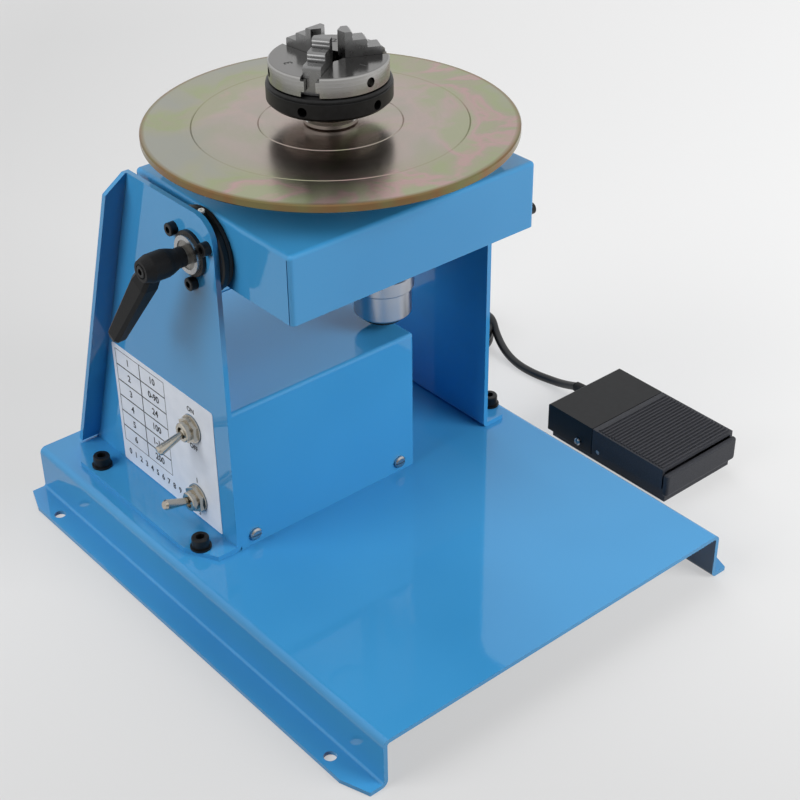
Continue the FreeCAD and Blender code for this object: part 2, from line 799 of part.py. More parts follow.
def spindle_bearings():
    """A flanged housing under the head's top, with two sealed bearings and a spacer."""
    race = "bearing_outer + fit_gap"
    body = turned("bearing_housing", [
        (race, 0), ("housing_flange", 0), ("housing_flange", "-housing_flange_thick"),
        ("housing_radius", "-housing_flange_thick - 2"),
        ("housing_radius", "-bearing_thick * 2 - bearing_space - housing_lip + 1"),
        ("housing_radius - 1", "-bearing_thick * 2 - bearing_space - housing_lip"),
        ("bearing_shield", "-bearing_thick * 2 - bearing_space - housing_lip"),
        ("bearing_shield", "-bearing_thick * 2 - bearing_space"),
        (race, "-bearing_thick * 2 - bearing_space"),
    ])
    rounds = [
        (f"housing_screw_circle * cos({a})", f"housing_screw_circle * sin({a})", 2.5 + val("fit_gap"))
        for a in (0, 90, 180, 270)
    ]
    pocket(body, circles(body, "XY_Plane", rounds), "housing_flange_thick * 3", both=True)
    on_spindle(body, HOUSING_TOP)
    mid = "(bearing_inner + bearing_shield) / 2 + 0.2"
    outer = turned("outer_race", [
        (mid, 0.4), ("bearing_shield", 0.4), ("bearing_shield + 0.4", 0), ("bearing_outer", 0),
        ("bearing_outer", "bearing_thick"), ("bearing_shield + 0.4", "bearing_thick"),
        ("bearing_shield", "bearing_thick - 0.4"), (mid, "bearing_thick - 0.4"),
    ], False)
    inner = turned("inner_race", [
        ("bearing_bore + fit_gap", 0), ("bearing_inner", 0), ("bearing_inner", "bearing_thick"),
        ("bearing_bore + fit_gap", "bearing_thick"),
    ], False)
    levels = (LOWER_RACE, f"{HOUSING_TOP} - bearing_thick")
    spacer = washer("bearing_spacer", "bearing_outer - 0.2", "bearing_shield + 1", "bearing_space")
    group(
        "spindle_bearing_outers",
        (outer, [(0, "pivot_y", z, UPRIGHT) for z in levels]),
        (spacer, [(0, "pivot_y", f"{LOWER_RACE} + bearing_thick", UPRIGHT)]),
    )
    group("spindle_bearing_inners", (inner, [(0, "pivot_y", z, UPRIGHT) for z in levels]))


def spindle():
    """The spindle: seat for the wheel, bearing seat, collar, table flange and spigot."""
    top = "table_top"
    under = f"({top} - table_thick)"
    turned("spindle_shaft", [
        (0, f"{WHEEL_LOW} + end_screw_length"), ("end_screw + fit_gap", f"{WHEEL_LOW} + end_screw_length"),
        ("end_screw + fit_gap", WHEEL_LOW), ("gear_seat", WHEEL_LOW), ("gear_seat", WHEEL_TOP),
        ("bearing_bore", WHEEL_TOP), ("bearing_bore", HOUSING_TOP),
        ("spindle_collar", HOUSING_TOP), ("spindle_collar", f"{under} - spindle_flange_thick - 2"),
        ("spindle_flange - 2", f"{under} - spindle_flange_thick"),
        ("spindle_flange", f"{under} - spindle_flange_thick + 1"), ("spindle_flange", under),
        ("bearing_bore", under), ("bearing_bore", top), (0, top),
    ])
    on_spindle(nodes[-1])


def table_disc():
    """The round table, with two fine set-out circles turned in its face."""
    body = turned("table_disc", [
        ("bearing_bore + fit_gap", "-table_thick"), ("table_radius - table_bevel", "-table_thick"),
        ("table_radius", "table_bevel - table_thick"), ("table_radius", "-table_bevel"),
        ("table_radius - table_bevel", 0), ("bearing_bore + fit_gap", 0),
    ])
    for ring in ("groove_inner", "groove_outer"):
        groove(body, [
            (f"{ring} - groove_width / 2", 0.1), (f"{ring} - groove_width / 2", 0),
            (ring, "-groove_depth"), (f"{ring} + groove_width / 2", 0),
            (f"{ring} + groove_width / 2", 0.1),
        ])
    on_spindle(body, "table_top")


def gear_blank(teeth):
    """A spur gear with involute flanks, its lower face at Z = 0."""
    builder = fcgear.FCWireBuilder()
    involute.CreateExternalGear(builder, val("gear_module"), int(val(teeth)), 20, split=False)
    profile = Part.Wire([edge.toShape() for edge in builder.wire])
    return Part.Face(profile).extrude(Vector(0, 0, val("gear_thick")))


def rod(radius, low, high):
    return Part.makeCylinder(radius, high - low, Vector(0, 0, low))


def drive_gears():
    """The spindle's wheel and the pinion on the motor's shaft, in mesh along +X of the spindle."""
    thick = val("gear_thick")
    hub_top = thick + val("wheel_hub_thick")
    wheel = doc.addObject("Part::Feature", "spindle_wheel")
    solid = gear_blank("wheel_teeth").fuse(rod(val("gear_hub"), thick, hub_top))
    solid = solid.cut(rod(val("gear_seat") + val("fit_gap"), -1, thick))
    wheel.Shape = solid.cut(rod(val("bearing_bore") + val("fit_gap"), thick - 0.01, hub_top + 1))
    keep(wheel, "spindle_wheel")
    on_spindle(wheel, WHEEL_LOW)
    pinion = doc.addObject("Part::Feature", "motor_pinion")
    shaft_low = val(PLATE_LOW) - val(WHEEL_LOW) - 7.5
    pinion.Shape = gear_blank("pinion_teeth").fuse(rod(val("motor_shaft"), shaft_low, thick + 1))
    keep(pinion, "motor_pinion")
    half_pitch = Rotation(Vector(0, 0, 1), 180 / val("pinion_teeth"))
    place(pinion, CENTRES, "pivot_y", WHEEL_LOW, half_pitch)
    low = f"{WHEEL_LOW} - end_washer_thick"
    ring = washer("end_washer", "end_washer", "end_screw + fit_gap", "end_washer_thick")
    screw = cap_screw("end_screw", val("end_screw"), val("end_screw_length"))
    group("wheel_fastener", (ring, [(0, "pivot_y", low, UPRIGHT)]), (screw, [(0, "pivot_y", low, DOWN)]))


def motor():
    """A gear motor that hangs from a plate inside the head."""
    plate = new_body("motor_plate")
    pad(plate, rectangle(plate, "XY_Plane", "motor_plate_left", "motor_plate_right",
                         "motor_plate_near", "motor_plate_far", PLATE_LOW), "motor_plate_thick")
    doc.recompute()
    corners = [(val(x), val(y), 0) for x in ("motor_plate_left", "motor_plate_right")
               for y in ("motor_plate_near", "motor_plate_far")]
    dress(plate, "Fillet", edges(plate.Tip.Shape, (0, 0, 1), corners), 5)
    rounds = [(x, y, 2 + val("fit_gap")) for x, y in STANDOFFS]
    rounds += [(0, "pivot_y", "motor_plate_hole / 2"), (CENTRES, "pivot_y", "motor_boss + fit_gap")]
    rounds += [(x, y, 1.5 + val("fit_gap")) for x, y in MOTOR_SCREWS]
    pocket(plate, circles(plate, "XY_Plane", rounds, PLATE_LOW), "motor_plate_thick * 3", both=True)
    post = washer("motor_post", "standoff_radius", 2.03, "motor_plate_drop")
    top_of_plate = f"{PLATE_LOW} + motor_plate_thick"
    group("motor_posts", (post, [(x, y, top_of_plate, UPRIGHT) for x, y in STANDOFFS]))
    box = turned("motor_gearbox", [
        (0, "-gearbox_length"), ("gearbox_radius - 1", "-gearbox_length"),
        ("gearbox_radius", "-gearbox_length + 1"), ("gearbox_radius", "-gearbox_length + 9"),
        ("gearbox_radius - 0.5", "-gearbox_length + 9.5"), ("gearbox_radius - 0.5", "-gearbox_length + 11"),
        ("gearbox_radius", "-gearbox_length + 11.5"), ("gearbox_radius", 0),
        ("motor_boss", 0), ("motor_boss", 2.5), ("motor_shaft + run_gap", 2.5),
        ("motor_shaft + run_gap", -8), (0, -8),
    ])
    place(box, CENTRES, "pivot_y", PLATE_LOW)
    rounds = [(f"motor_screw_circle * cos({a})", f"motor_screw_circle * sin({a})", 1.5 + val("fit_gap"))
              for a in (45, 135, 225, 315)]
    pocket(box, circles(box, "XY_Plane", rounds), 6)
    can = turned("motor_can", [
        (0, "-can_length"), ("can_radius - 1.5", "-can_length"), ("can_radius", "-can_length + 1.5"),
        ("can_radius", 0), (0, 0),
    ])
    place(can, CENTRES, "pivot_y", f"{PLATE_LOW} - gearbox_length")
    cap = turned("motor_end_cap", [
        (0, "-motor_cap_length"), ("motor_cap_radius - 0.6", "-motor_cap_length"),
        ("motor_cap_radius", "-motor_cap_length + 0.6"), ("motor_cap_radius", 0), (0, 0),
    ])
    place(cap, CENTRES, "pivot_y", f"{PLATE_LOW} - gearbox_length - can_length")
    rounds = [(x, y, 3) for x, y in MOTOR_SCREWS]
    pocket(plate, circles(plate, "XY_Plane", rounds, top_of_plate), 1.4)
    post_screw = pan_screw("post_screw", 2, 12)
    gearbox_screw = pan_screw("gearbox_screw", 1.5, 7)
    housing_screw = pan_screw("housing_screw", 2.5, 7)
    places = [(x, y, "box_top", UPRIGHT) for x, y in STANDOFFS]
    places += [(x, y, PLATE_LOW, DOWN) for x, y in STANDOFFS]
    group(
        "head_screws",
        (post_screw, places),
        (gearbox_screw, [(x, y, f"{top_of_plate} - 1.4", UPRIGHT) for x, y in MOTOR_SCREWS]),
        (housing_screw, [(x, y, "box_top", UPRIGHT) for x, y in HOUSING_SCREWS]),
    )


MOTOR_SCREWS = [
    (f"{CENTRES} + motor_screw_circle * cos({a})", f"pivot_y + motor_screw_circle * sin({a})")
    for a in (45, 135, 225, 315)
]


# ---------------------------------------------------------------- chuck

HUB_TOP = "(table_top + hub_height)"
CORE_LOW = f"({HUB_TOP} + back_plate_thick)"
CHUCK_LOW = f"({CORE_LOW} + ring_height + side_gap * 2)"
CHUCK_TOP = f"({CHUCK_LOW} + chuck_height)"


def chuck_mounting():
    """The hub under the chuck and the plate that keeps the scroll ring on its core."""
    body = turned("chuck_hub", [
        (0, 0), ("hub_radius - 0.8", 0), ("hub_radius + 0.4", 0.8), ("hub_radius + 0.4", 2.6),
        ("hub_radius - 0.6", 3.8), ("hub_radius", 5.5),
        ("hub_radius", "hub_height"), ("hub_spigot", "hub_height"),
        ("hub_spigot", "hub_height + back_plate_thick"),
        (0, "hub_height + back_plate_thick"),
    ])
    on_spindle(body, "table_top")
    plate = washer("back_plate", "back_plate_radius", "hub_spigot + fit_gap", "back_plate_thick")
    at = "hub_radius + 3.2"
    rounds = [(f"({at}) * cos({a})", f"({at}) * sin({a})", 1.5 + val("fit_gap")) for a in BACK_SCREWS]
    pocket(plate, circles(plate, "XY_Plane", rounds), both=True)
    screw = pan_screw("back_plate_screw", 1.5, 6)
    group("chuck_back_plate", (plate, [(0, "pivot_y", HUB_TOP, UPRIGHT)]), (screw, [
        (f"({at}) * cos({a})", f"pivot_y + ({at}) * sin({a})", HUB_TOP, DOWN) for a in BACK_SCREWS
    ]))


BACK_SCREWS = (34, 154, 274)


def scroll_ring():
    """The black ring that is turned by hand or with a bar, and drives the jaws."""
    top = "ring_height"
    body = turned("scroll_ring", [
        ("core_radius + run_gap", 0), ("ring_radius - 2", 0), ("ring_radius", 2),
        ("ring_radius", f"{top} - ring_step * 2"), ("ring_radius - 0.8", f"{top} - ring_step * 1.6"),
        ("ring_radius - 0.8", f"{top} - ring_step * 1.2"), ("ring_radius - 0.3", f"{top} - ring_step"),
        ("ring_radius - 0.4", f"{top} - 0.8"), ("ring_radius - 1.2", top),
        ("core_radius + run_gap", top),
    ])
    hole = circles(body, "XZ_Plane", [(0, "ring_height * 0.42", "bar_hole")], "ring_radius + 1")
    drill = pocket(body, hole, "bar_hole_depth + 1")
    polar(body, drill, "ring_holes")
    turn = Rotation(Vector(0, 0, 1), 207 + 90)
    on_spindle(body, f"{CORE_LOW} + side_gap", turn)


def chuck_body():
    """Round body on a core, with three rail-sided jaw slots and three bar holes."""
    low = "ring_height + side_gap * 2"
    high = f"{low} + chuck_height"
    body = turned("chuck_body", [
        ("chuck_bore", 0), ("core_radius", 0), ("core_radius", low), ("chuck_radius - 0.5", low),
        ("chuck_radius", f"{low} + 0.5"), ("chuck_radius", f"{high} - 0.9"),
        ("chuck_radius - 0.9", high), ("chuck_bore", high),
    ])
    rounds = [(f"(hub_radius + 3.2) * cos({a - val('jaw_angle') - 90})",
               f"(hub_radius + 3.2) * sin({a - val('jaw_angle') - 90})", 1.5 + val("fit_gap"))
              for a in BACK_SCREWS]
    pocket(body, circles(body, "XY_Plane", rounds), 5, back=True)
    wide, neck = "(jaw_width / 2 + jaw_gap)", "(jaw_neck / 2 + jaw_gap)"
    slot = outline(body, "XZ_Plane", [
        (f"-{wide}", low), (wide, low), (wide, f"{low} + rail_low + jaw_gap"),
        (neck, f"{low} + rail_low + jaw_gap"), (neck, f"{low} + rail_high - jaw_gap"),
        (wide, f"{low} + rail_high - jaw_gap"), (wide, f"{high} + 1"), (f"-{wide}", f"{high} + 1"),
        (f"-{wide}", f"{low} + rail_high - jaw_gap"), (f"-{neck}", f"{low} + rail_high - jaw_gap"),
        (f"-{neck}", f"{low} + rail_low + jaw_gap"), (f"-{wide}", f"{low} + rail_low + jaw_gap"),
    ])
    channel = pocket(body, slot, "chuck_radius + 1", back=True)
    polar(body, channel, "jaw_count")
    hole = circles(body, "XZ_Plane", [(0, f"{low} + chuck_height / 2", "bar_hole")],
                   "-chuck_radius - 1")
    drill = pocket(body, hole, "bar_hole_depth + 1", back=True)
    polar(body, drill, "jaw_count")
    turn = Rotation(Vector(0, 0, 1), val("jaw_angle") + 90)
    on_spindle(body, CORE_LOW, turn)


def chuck_jaws():
    """Three stepped jaws, highest at the middle, with side grooves for the body's rails."""
    low = "side_gap * 0.4"
    face = "chuck_height"
    tops = (f"{face} + jaw_low_step", f"{face} + jaw_low_step + jaw_step",
            f"{face} + jaw_low_step + jaw_step * 2")
    for number in range(3):
        body = new_body(f"chuck_jaw_{number + 1}")
        pad(body, outline(body, "XZ_Plane", [
            ("jaw_inner", low), ("jaw_outer", low), ("jaw_outer", tops[0]), ("jaw_third", tops[0]),
            ("jaw_third", tops[1]), ("jaw_second", tops[1]), ("jaw_second", tops[2]),
            ("jaw_inner", tops[2]),
        ]), "jaw_width", both=True)
        steps = [("jaw_outer", 0, tops[0]), ("jaw_third", 0, tops[1]), ("jaw_second", 0, tops[2])]
        bend(body, (0, 1, 0), steps, "jaw_round")
        tip, side = "jaw_width / 2 / tan(60)", "jaw_width / 2"
        for s in (1, -1):
            wedge = outline(body, "XY_Plane", [
                ("jaw_inner", 0), (f"jaw_inner + {tip}", f"{s} * {side}"),
                (f"jaw_inner + {tip}", f"{s} * ({side} + 1)"), ("jaw_inner - 1", f"{s} * ({side} + 1)"),
                ("jaw_inner - 1", 0),
            ])
            pocket(body, wedge, back=True)
            rail = rectangle(body, "YZ_Plane", f"{s} * jaw_neck / 2", f"{s} * ({side} + 1)",
                             "rail_low", "rail_high", "jaw_inner - 1")
            pocket(body, rail, back=True)
        on_spindle(body, CHUCK_LOW, Rotation(Vector(0, 0, 1), val("jaw_angle") + 120 * number))


# ---------------------------------------------------------------- control box


def control_box():
    """A folded cover with a front, top, right side and back, on two strips fixed to the base."""
    body = new_body("control_box_cover")
    pad(body, rectangle(body, "XY_Plane", "left_face", "cover_right", "cover_near", "cover_far",
                        "base_height"), "cover_top - base_height")
    pocket(body, rectangle(body, "XY_Plane", "left_face - 1", "cover_right - cover_sheet",
                           "cover_near + cover_sheet", "cover_far - cover_sheet", "base_height"),
           "cover_top - base_height - cover_sheet", back=True)
    bend(body, (1, 0, 0), [(0, "cover_near", "cover_top"), (0, "cover_far", "cover_top")], "cover_bend")
    bend(body, (0, 1, 0), [("cover_right", 0, "cover_top")], "cover_bend")
    rounds = [(x, z, 2 + val("fit_gap")) for x, z in COVER_SCREWS]
    pocket(body, circles(body, "XZ_Plane", rounds), both=True)
    back = "-cover_far - 1"
    pocket(body, circles(body, "XZ_Plane", [("socket_x", "socket_z", "socket_radius + fit_gap")], back),
           "cover_sheet + 2", back=True)
    pocket(body, rectangle(body, "XZ_Plane", "inlet_x - inlet_width / 2", "inlet_x + inlet_width / 2",
                           "socket_z - inlet_height / 2", "socket_z + inlet_height / 2", back),
           "cover_sheet + 2", back=True)
    strip = new_body("cover_strip", False)
    pad(strip, outline(strip, "YZ_Plane", [
        (0, 0), (14, 0), (14, "cover_sheet"), ("cover_sheet", "cover_sheet"),
        ("cover_sheet", "bracket_height"), (0, "bracket_height"),
    ]), "cover_right - left_face - cover_sheet * 2 - side_gap")
    pocket(strip, circles(strip, "XZ_Plane", [
        (f"{x} - left_face - side_gap", "cover_screw_height", 2 + val("fit_gap")) for x, _ in COVER_SCREWS
    ]), 6, both=True)
    far_turn = Rotation(Vector(0, 0, 1), 180)
    mirror_x = "cover_right - cover_sheet * 2"
    group("cover_strips", (strip, [
        ("left_face + side_gap", "cover_near + cover_sheet", "base_height", UPRIGHT),
        (mirror_x, "cover_far - cover_sheet", "base_height", far_turn),
    ]))
    screw = pan_screw("cover_screw", 2, 7)
    places = [(x, "cover_near", z, TO_FRONT) for x, z in COVER_SCREWS]
    places += [(x, "cover_far", z, TO_BACK) for x, z in COVER_SCREWS]
    group("control_box_screws", (screw, places))


COVER_SCREWS = [
    ("left_face + cover_screw_inset", "base_height + cover_screw_height"),
    ("cover_right - cover_sheet * 2 + side_gap - cover_screw_inset", "base_height + cover_screw_height"),
]


def electrics():
    """What the box holds: the motor's supply and its speed board, and the two rear connectors."""
    supply = new_body("power_supply")
    top = "base_height + supply_height"
    pad(supply, rectangle(supply, "XY_Plane", "supply_left", "supply_right", "supply_near", "supply_far",
                          "base_height"), "supply_height")
    bend(supply, (1, 0, 0), [(0, "supply_near", top), (0, "supply_far", top)], 2)
    terminals = rectangle(supply, "XY_Plane", "supply_left + 6", "supply_right - 6",
                          "supply_near - 1", "supply_near + 9", f"{top} - 12")
    pocket(supply, terminals, back=True)
    board = new_body("board", False)
    low, high = "base_height + board_lift", "base_height + board_lift + board_thick"
    pad(board, rectangle(board, "XY_Plane", "board_left", "board_right", "board_near", "board_far", low),
        "board_thick")
    for left, near, wide, deep, tall in (
        (4, 4, 18, 22, 15), (28, 6, 12, 12, 18), (46, 4, 16, 6, 20), (4, 32, 40, 8, 9),
    ):
        x, y = f"board_left + {left}", f"board_near + {near}"
        pad(board, rectangle(board, "XY_Plane", x, f"{x} + {wide}", y, f"{y} + {deep}",
                             f"{high} - 0.6"), tall)
    posts = [(x, y) for x in ("board_left + board_inset", "board_right - board_inset")
             for y in ("board_near + board_inset / 2", "board_far - board_inset / 2")]
    pocket(board, circles(board, "XY_Plane", [(x, y, 1.6) for x, y in posts], high), 4, both=True)
    post = turned("board_post", [
        (0, 0), (3, 0), (3, "board_lift"), (1.57, "board_lift"), (1.57, "board_lift + 3"),
        (0, "board_lift + 3"),
    ], False)
    group("speed_board", (board, [(0, 0, 0, UPRIGHT)]),
          (post, [(x, y, "base_height", UPRIGHT) for x, y in posts]))
    socket = turned("pedal_socket", [
        (0, -16), ("socket_radius - 1.5", -16), ("socket_radius - 1.5", 0), ("socket_radius + 2.5", 0),
        ("socket_radius + 2.5", 2), ("socket_radius - 1", 2), ("socket_radius - 1", 6),
        ("socket_radius - 3", 6), ("socket_radius - 3", 1), (0, 1),
    ])
    place(socket, "socket_x", "cover_far", "socket_z", TO_BACK)
    inlet = new_body("mains_inlet")
    half_w, half_h = "inlet_width / 2", "inlet_height / 2"
    pad(inlet, rectangle(inlet, "XZ_Plane", f"inlet_x - {half_w} + 0.1", f"inlet_x + {half_w} - 0.1",
                         f"socket_z - {half_h} + 0.1", f"socket_z + {half_h} - 0.1",
                         "-cover_far"), "18")
    pad(inlet, rectangle(inlet, "XZ_Plane", f"inlet_x - {half_w} - 2", f"inlet_x + {half_w} + 2",
                         f"socket_z - {half_h} - 2", f"socket_z + {half_h} + 2",
                         "-cover_far"), "2.5", back=True)
    pocket(inlet, rectangle(inlet, "XZ_Plane", f"inlet_x - {half_w} + 2.5", f"inlet_x + {half_w} - 2.5",
                            f"socket_z - {half_h} + 2.5", f"socket_z + {half_h} - 2.5",
                            "-cover_far - 2.6"), "14", back=True)


def toggles():
    """Two bat-lever switches through the left upright, each with its nut and washer."""
    face = f"({LEFT_OUTER} - plate_space)"
    out = "(upright_sheet + plate_space)"
    shell = new_body("toggle_shell", False)
    pad(shell, rectangle(shell, "XY_Plane", -9, 9, -6.5, 6.5, -18), 18)
    spin = shell.newObject("PartDesign::Revolution", "neck")
    mouth = "(toggle_ball + run_gap)"
    tip = f"({out} + bushing_reach)"
    spin.Profile = outline(shell, "XZ_Plane", [
        (0, -1), ("bushing_radius", -1), ("bushing_radius", f"{tip} - bushing_bevel"),
        ("bushing_radius - bushing_bevel", tip), (mouth, tip), (mouth, f"{tip} - toggle_pocket"),
        (0, f"{tip} - toggle_pocket"),
    ])
    spin.ReferenceAxis = (spin.Profile[0], ["V_Axis"])
    spin.Angle = 360
    pins = shell.newObject("PartDesign::Pad", "pins")
    pins.Profile = circles(shell, "XY_Plane", [(-5, 0, 1.2), (0, 0, 1.2), (5, 0, 1.2)], -18)
    pins.Length = 4
    pins.Reversed = True
    group("toggle_bodies", (shell, [("left_face", "toggle_y", z, TO_LEFT) for z in TOGGLE_Z]))
    ring = washer("toggle_washer", "toggle_washer", "bushing_radius + fit_gap", 0.8)
    hex_nut = nut("toggle_nut", "toggle_nut_flats", "bushing_radius + fit_gap", 2.6)
    group(
        "toggle_nuts",
        (ring, [(face, "toggle_y", z, TO_LEFT) for z in TOGGLE_Z]),
        (hex_nut, [(f"{face} - 0.8", "toggle_y", z, TO_LEFT) for z in TOGGLE_Z]),
    )
    ball = f"left_face - {tip} + toggle_ball_in"
    for name, z, lean in (("upper_toggle_lever", TOGGLE_Z[0], "-toggle_tilt"),
                          ("lower_toggle_lever", TOGGLE_Z[1], "toggle_tilt")):
        bat = turned(name, [
            (0, "-toggle_ball * 0.8"), ("toggle_ball * 0.6", "-toggle_ball * 0.8"),
            ("toggle_ball", -0.5), ("toggle_ball", 0.5), ("toggle_ball * 0.55", "toggle_ball * 0.8"),
            (2, 4), (2.2, 6.5), (2.95, "toggle_length - 3.5"), (3.05, "toggle_length - 1.6"),
            (2.3, "toggle_length - 0.3"), (0, "toggle_length"),
        ])
        place(bat, ball, "toggle_y", z, Rotation(Vector(0, 1, 0), -90 + val(lean)))


# ---------------------------------------------------------------- foot pedal

PEDAL_BACK = "pedal_length / 2"
TREAD_BACK = "(pedal_length / 2 - pedal_cover_share)"
TRAY_HALF = "(pedal_width / 2 - pedal_wall - side_gap)"


def on_pedal(item, x=0, y=0, z=0, turn=UPRIGHT):
    return place(item, f"pedal_x + {x}", f"pedal_y + {y}", z, turn)


def pedal_tray():
    """The pedal's lower body: an open tray on four feet, with a raised lip at its front."""
    body = new_body("pedal_tray")
    half, back, low = TRAY_HALF, "(pedal_length / 2 - pedal_wall - side_gap)", "pedal_foot_height"
    front = "(pedal_length / 2 - pedal_lip)"
    pad(body, rectangle(body, "XY_Plane", f"-{half}", half, f"-{front}", back, low),
        "pedal_tray_top - pedal_foot_height")
    wall = "pedal_wall"
    pocket(body, rectangle(body, "XY_Plane", f"{wall} - {half}", f"{half} - {wall}",
                           f"{wall} - {front}", f"{back} - {wall}", "pedal_tray_top"),
           "pedal_tray_top - pedal_foot_height - pedal_floor")
    lip = rectangle(body, "XY_Plane", "-pedal_width / 2", "pedal_width / 2",
                    "-pedal_length / 2", f"-{front}", "pedal_lip_low")
    pad(body, lip, "pedal_lip_top - pedal_lip_low")
    bend(body, (0, 0, 1), [("-pedal_width / 2", "-pedal_length / 2", 0),
                           ("pedal_width / 2", "-pedal_length / 2", 0)], "pedal_lip - 0.8")
    bend(body, (1, 0, 0), [(0, "-pedal_length / 2", "pedal_lip_top")], 1.2)
    bend(body, (0, 1, 0), [("-pedal_width / 2", f"-{front}", "pedal_lip_low"),
                           ("pedal_width / 2", f"-{front}", "pedal_lip_low")], "pedal_lip_corner")
    hinge = circles(body, "YZ_Plane", [(f"{PEDAL_BACK} - hinge_back", "hinge_height", "hinge_pin + fit_gap")])
    pocket(body, hinge, both=True)
    entry = circles(body, "XZ_Plane", [("cord_entry_x - pedal_x", "cord_entry_z", 3.8 + val("fit_gap"))],
                    f"-{PEDAL_BACK} - 1")
    pocket(body, entry, "pedal_wall * 2 + 2", back=True)
    holes = circles(body, "YZ_Plane", [(f"{PEDAL_BACK} - pedal_screw_back", "hinge_height",
                                        "pedal_screw_radius + fit_gap")])
    pocket(body, holes, both=True)
    on_pedal(body)
    foot = turned("pedal_foot", [
        (0, 0), ("pedal_foot_radius - 1", 0), ("pedal_foot_radius", 1),
        ("pedal_foot_radius", "pedal_foot_height"), (0, "pedal_foot_height"),
    ], False)
    x, y = "(pedal_width / 2 - pedal_foot_in)", "(pedal_length / 2 - pedal_foot_in)"
    group("pedal_feet", (foot, [
        (f"pedal_x + {s} * {x}", f"pedal_y + {t} * {y}", 0, UPRIGHT) for s in (1, -1) for t in (1, -1)
    ]))


def pedal_shells():
    """The smooth rear cover and the ribbed tread, both hollow below and level on top."""
    wall = "pedal_wall"
    fall = "((pedal_height - pedal_front_height) / pedal_length)"
    gap = 0.5
    cover_front = f"({TREAD_BACK} + {gap})"
    tread_front = "(pedal_lip + tread_space - pedal_length / 2)"
    for name, near, far, skirt in (
        ("pedal_rear_cover", cover_front, PEDAL_BACK, "pedal_lip_low"),
        ("pedal_tread", tread_front, TREAD_BACK, "pedal_lip_low + 1.5"),
    ):
        body = new_body(name)
        near_top = f"(pedal_front_height + ({near} + pedal_length / 2) * {fall})"
        far_top = f"(pedal_front_height + ({far} + pedal_length / 2) * {fall})"
        low_near = skirt if name == "pedal_rear_cover" else f"({skirt} + 4)"
        pad(body, outline(body, "YZ_Plane", [
            (near, low_near), (far, skirt), (far, far_top), (near, near_top),
        ]), "pedal_width", both=True)
        inner_far = f"({far} - {wall})" if name == "pedal_rear_cover" else f"({far} + 1)"
        inner_near = f"({near} - 1)"
        pocket(body, outline(body, "YZ_Plane", [
            (inner_near, 0), (inner_far, 0), (inner_far, f"{far_top} - {wall}"),
            (inner_near, f"{near_top} - {wall}"),
        ]), f"pedal_width - {wall} * 2", both=True)
        doc.recompute()
        if name == "pedal_rear_cover":
            bend(body, (1, 0, 0), [(0, far, far_top)], 1.5)
            entry = circles(body, "XZ_Plane", [
                ("cord_entry_x - pedal_x", "cord_entry_z", 3.8 + val("fit_gap"))
            ], f"-{PEDAL_BACK} - 1")
            pocket(body, entry, "pedal_wall + 1.2", back=True)
            hole = circles(body, "YZ_Plane", [(f"{PEDAL_BACK} - pedal_screw_back", "hinge_height",
                                               "pedal_screw_radius + fit_gap")])
            pocket(body, hole, both=True)
        else:
            pin = circles(body, "YZ_Plane", [
                (f"{PEDAL_BACK} - hinge_back", "hinge_height", "hinge_pin + run_gap")
            ])
            pocket(body, pin, both=True)
            foot = f"(pedal_front_height + {fall} * ({near} + 1.5 + pedal_length / 2))"
            rib_start = f"({near} + 1.5)"
            width = "tread_rib_width"
            profile = [
                (rib_start, f"{foot} - 0.3"), (f"{rib_start} + {width}", f"{foot} - 0.3"),
                (f"{rib_start} + {width} * 0.8", f"{foot} + tread_rib_height"),
                (f"{rib_start} + {width} * 0.2", f"{foot} + tread_rib_height"),
            ]
            rib = pad(body, outline(body, "YZ_Plane", profile), "pedal_width - 3", both=True)
            rows = body.newObject("PartDesign::LinearPattern", "ribs")
            rows.Originals = [rib]
            run = body.newObject("Sketcher::SketchObject", "rib_direction")
            plane = [f for f in body.Origin.OriginFeatures if f.Role == "YZ_Plane"][0]
            run.AttachmentSupport = [(plane, "")]
            run.MapMode = "FlatFace"
            slope = val(fall)
            run.addGeometry(Part.LineSegment(Vector(0, 0, 0), Vector(10, 10 * slope, 0)), True)
            rows.Direction = (run, ["Axis0"])
            count = int((val(far) - val(near) - 2) / val("tread_rib_pitch"))
            rows.Occurrences = count
            rows.setExpression("Length", ex(f"tread_rib_pitch * {count - 1}"))
            body.Tip = rows
        on_pedal(body)


def pedal_parts():
    """Hinge pin, screws, switch and the cord's boot."""
    half = "(pedal_width / 2 - side_gap)"
    pin = turned("pedal_hinge_pin", [
        (0, f"-{half}"), ("hinge_pin", f"-{half}"), ("hinge_pin", half), (0, half),
    ])
    on_pedal(pin, 0, f"{PEDAL_BACK} - hinge_back", "hinge_height", TO_RIGHT)
    screw = pan_screw("pedal_screw", val("pedal_screw_radius"), 5)
    y = f"pedal_y + {PEDAL_BACK} - pedal_screw_back"
    group("pedal_cover_screws", (screw, [
        ("pedal_x - pedal_width / 2", y, "hinge_height", TO_LEFT),
        ("pedal_x + pedal_width / 2", y, "hinge_height", TO_RIGHT),
    ]))
    switch = new_body("pedal_switch")
    base = "pedal_foot_height + pedal_floor"
    pad(switch, rectangle(switch, "XY_Plane", -3.2, 3.2, -10, 10, base), 10.5)
    pad(switch, circles(switch, "XY_Plane", [(0, -5, 1.4)], f"{base} + 10"), 1.5)
    on_pedal(switch, 0, -14)
    inside = "(pedal_wall * 2 + side_gap * 2)"
    boot = turned("pedal_cord_boot", [
        (0, f"-{inside} - 2"), (5.2, f"-{inside} - 2"), (5.2, f"-{inside}"), (3.8, f"-{inside}"),
        (3.8, 0), (4.8, 0), (4.8, 2), (3.4, "boot_length"), (0, "boot_length"),
    ])
    place(boot, "cord_entry_x", f"pedal_y + {PEDAL_BACK}", "cord_entry_z", TO_BACK)


# ---------------------------------------------------------------- cord


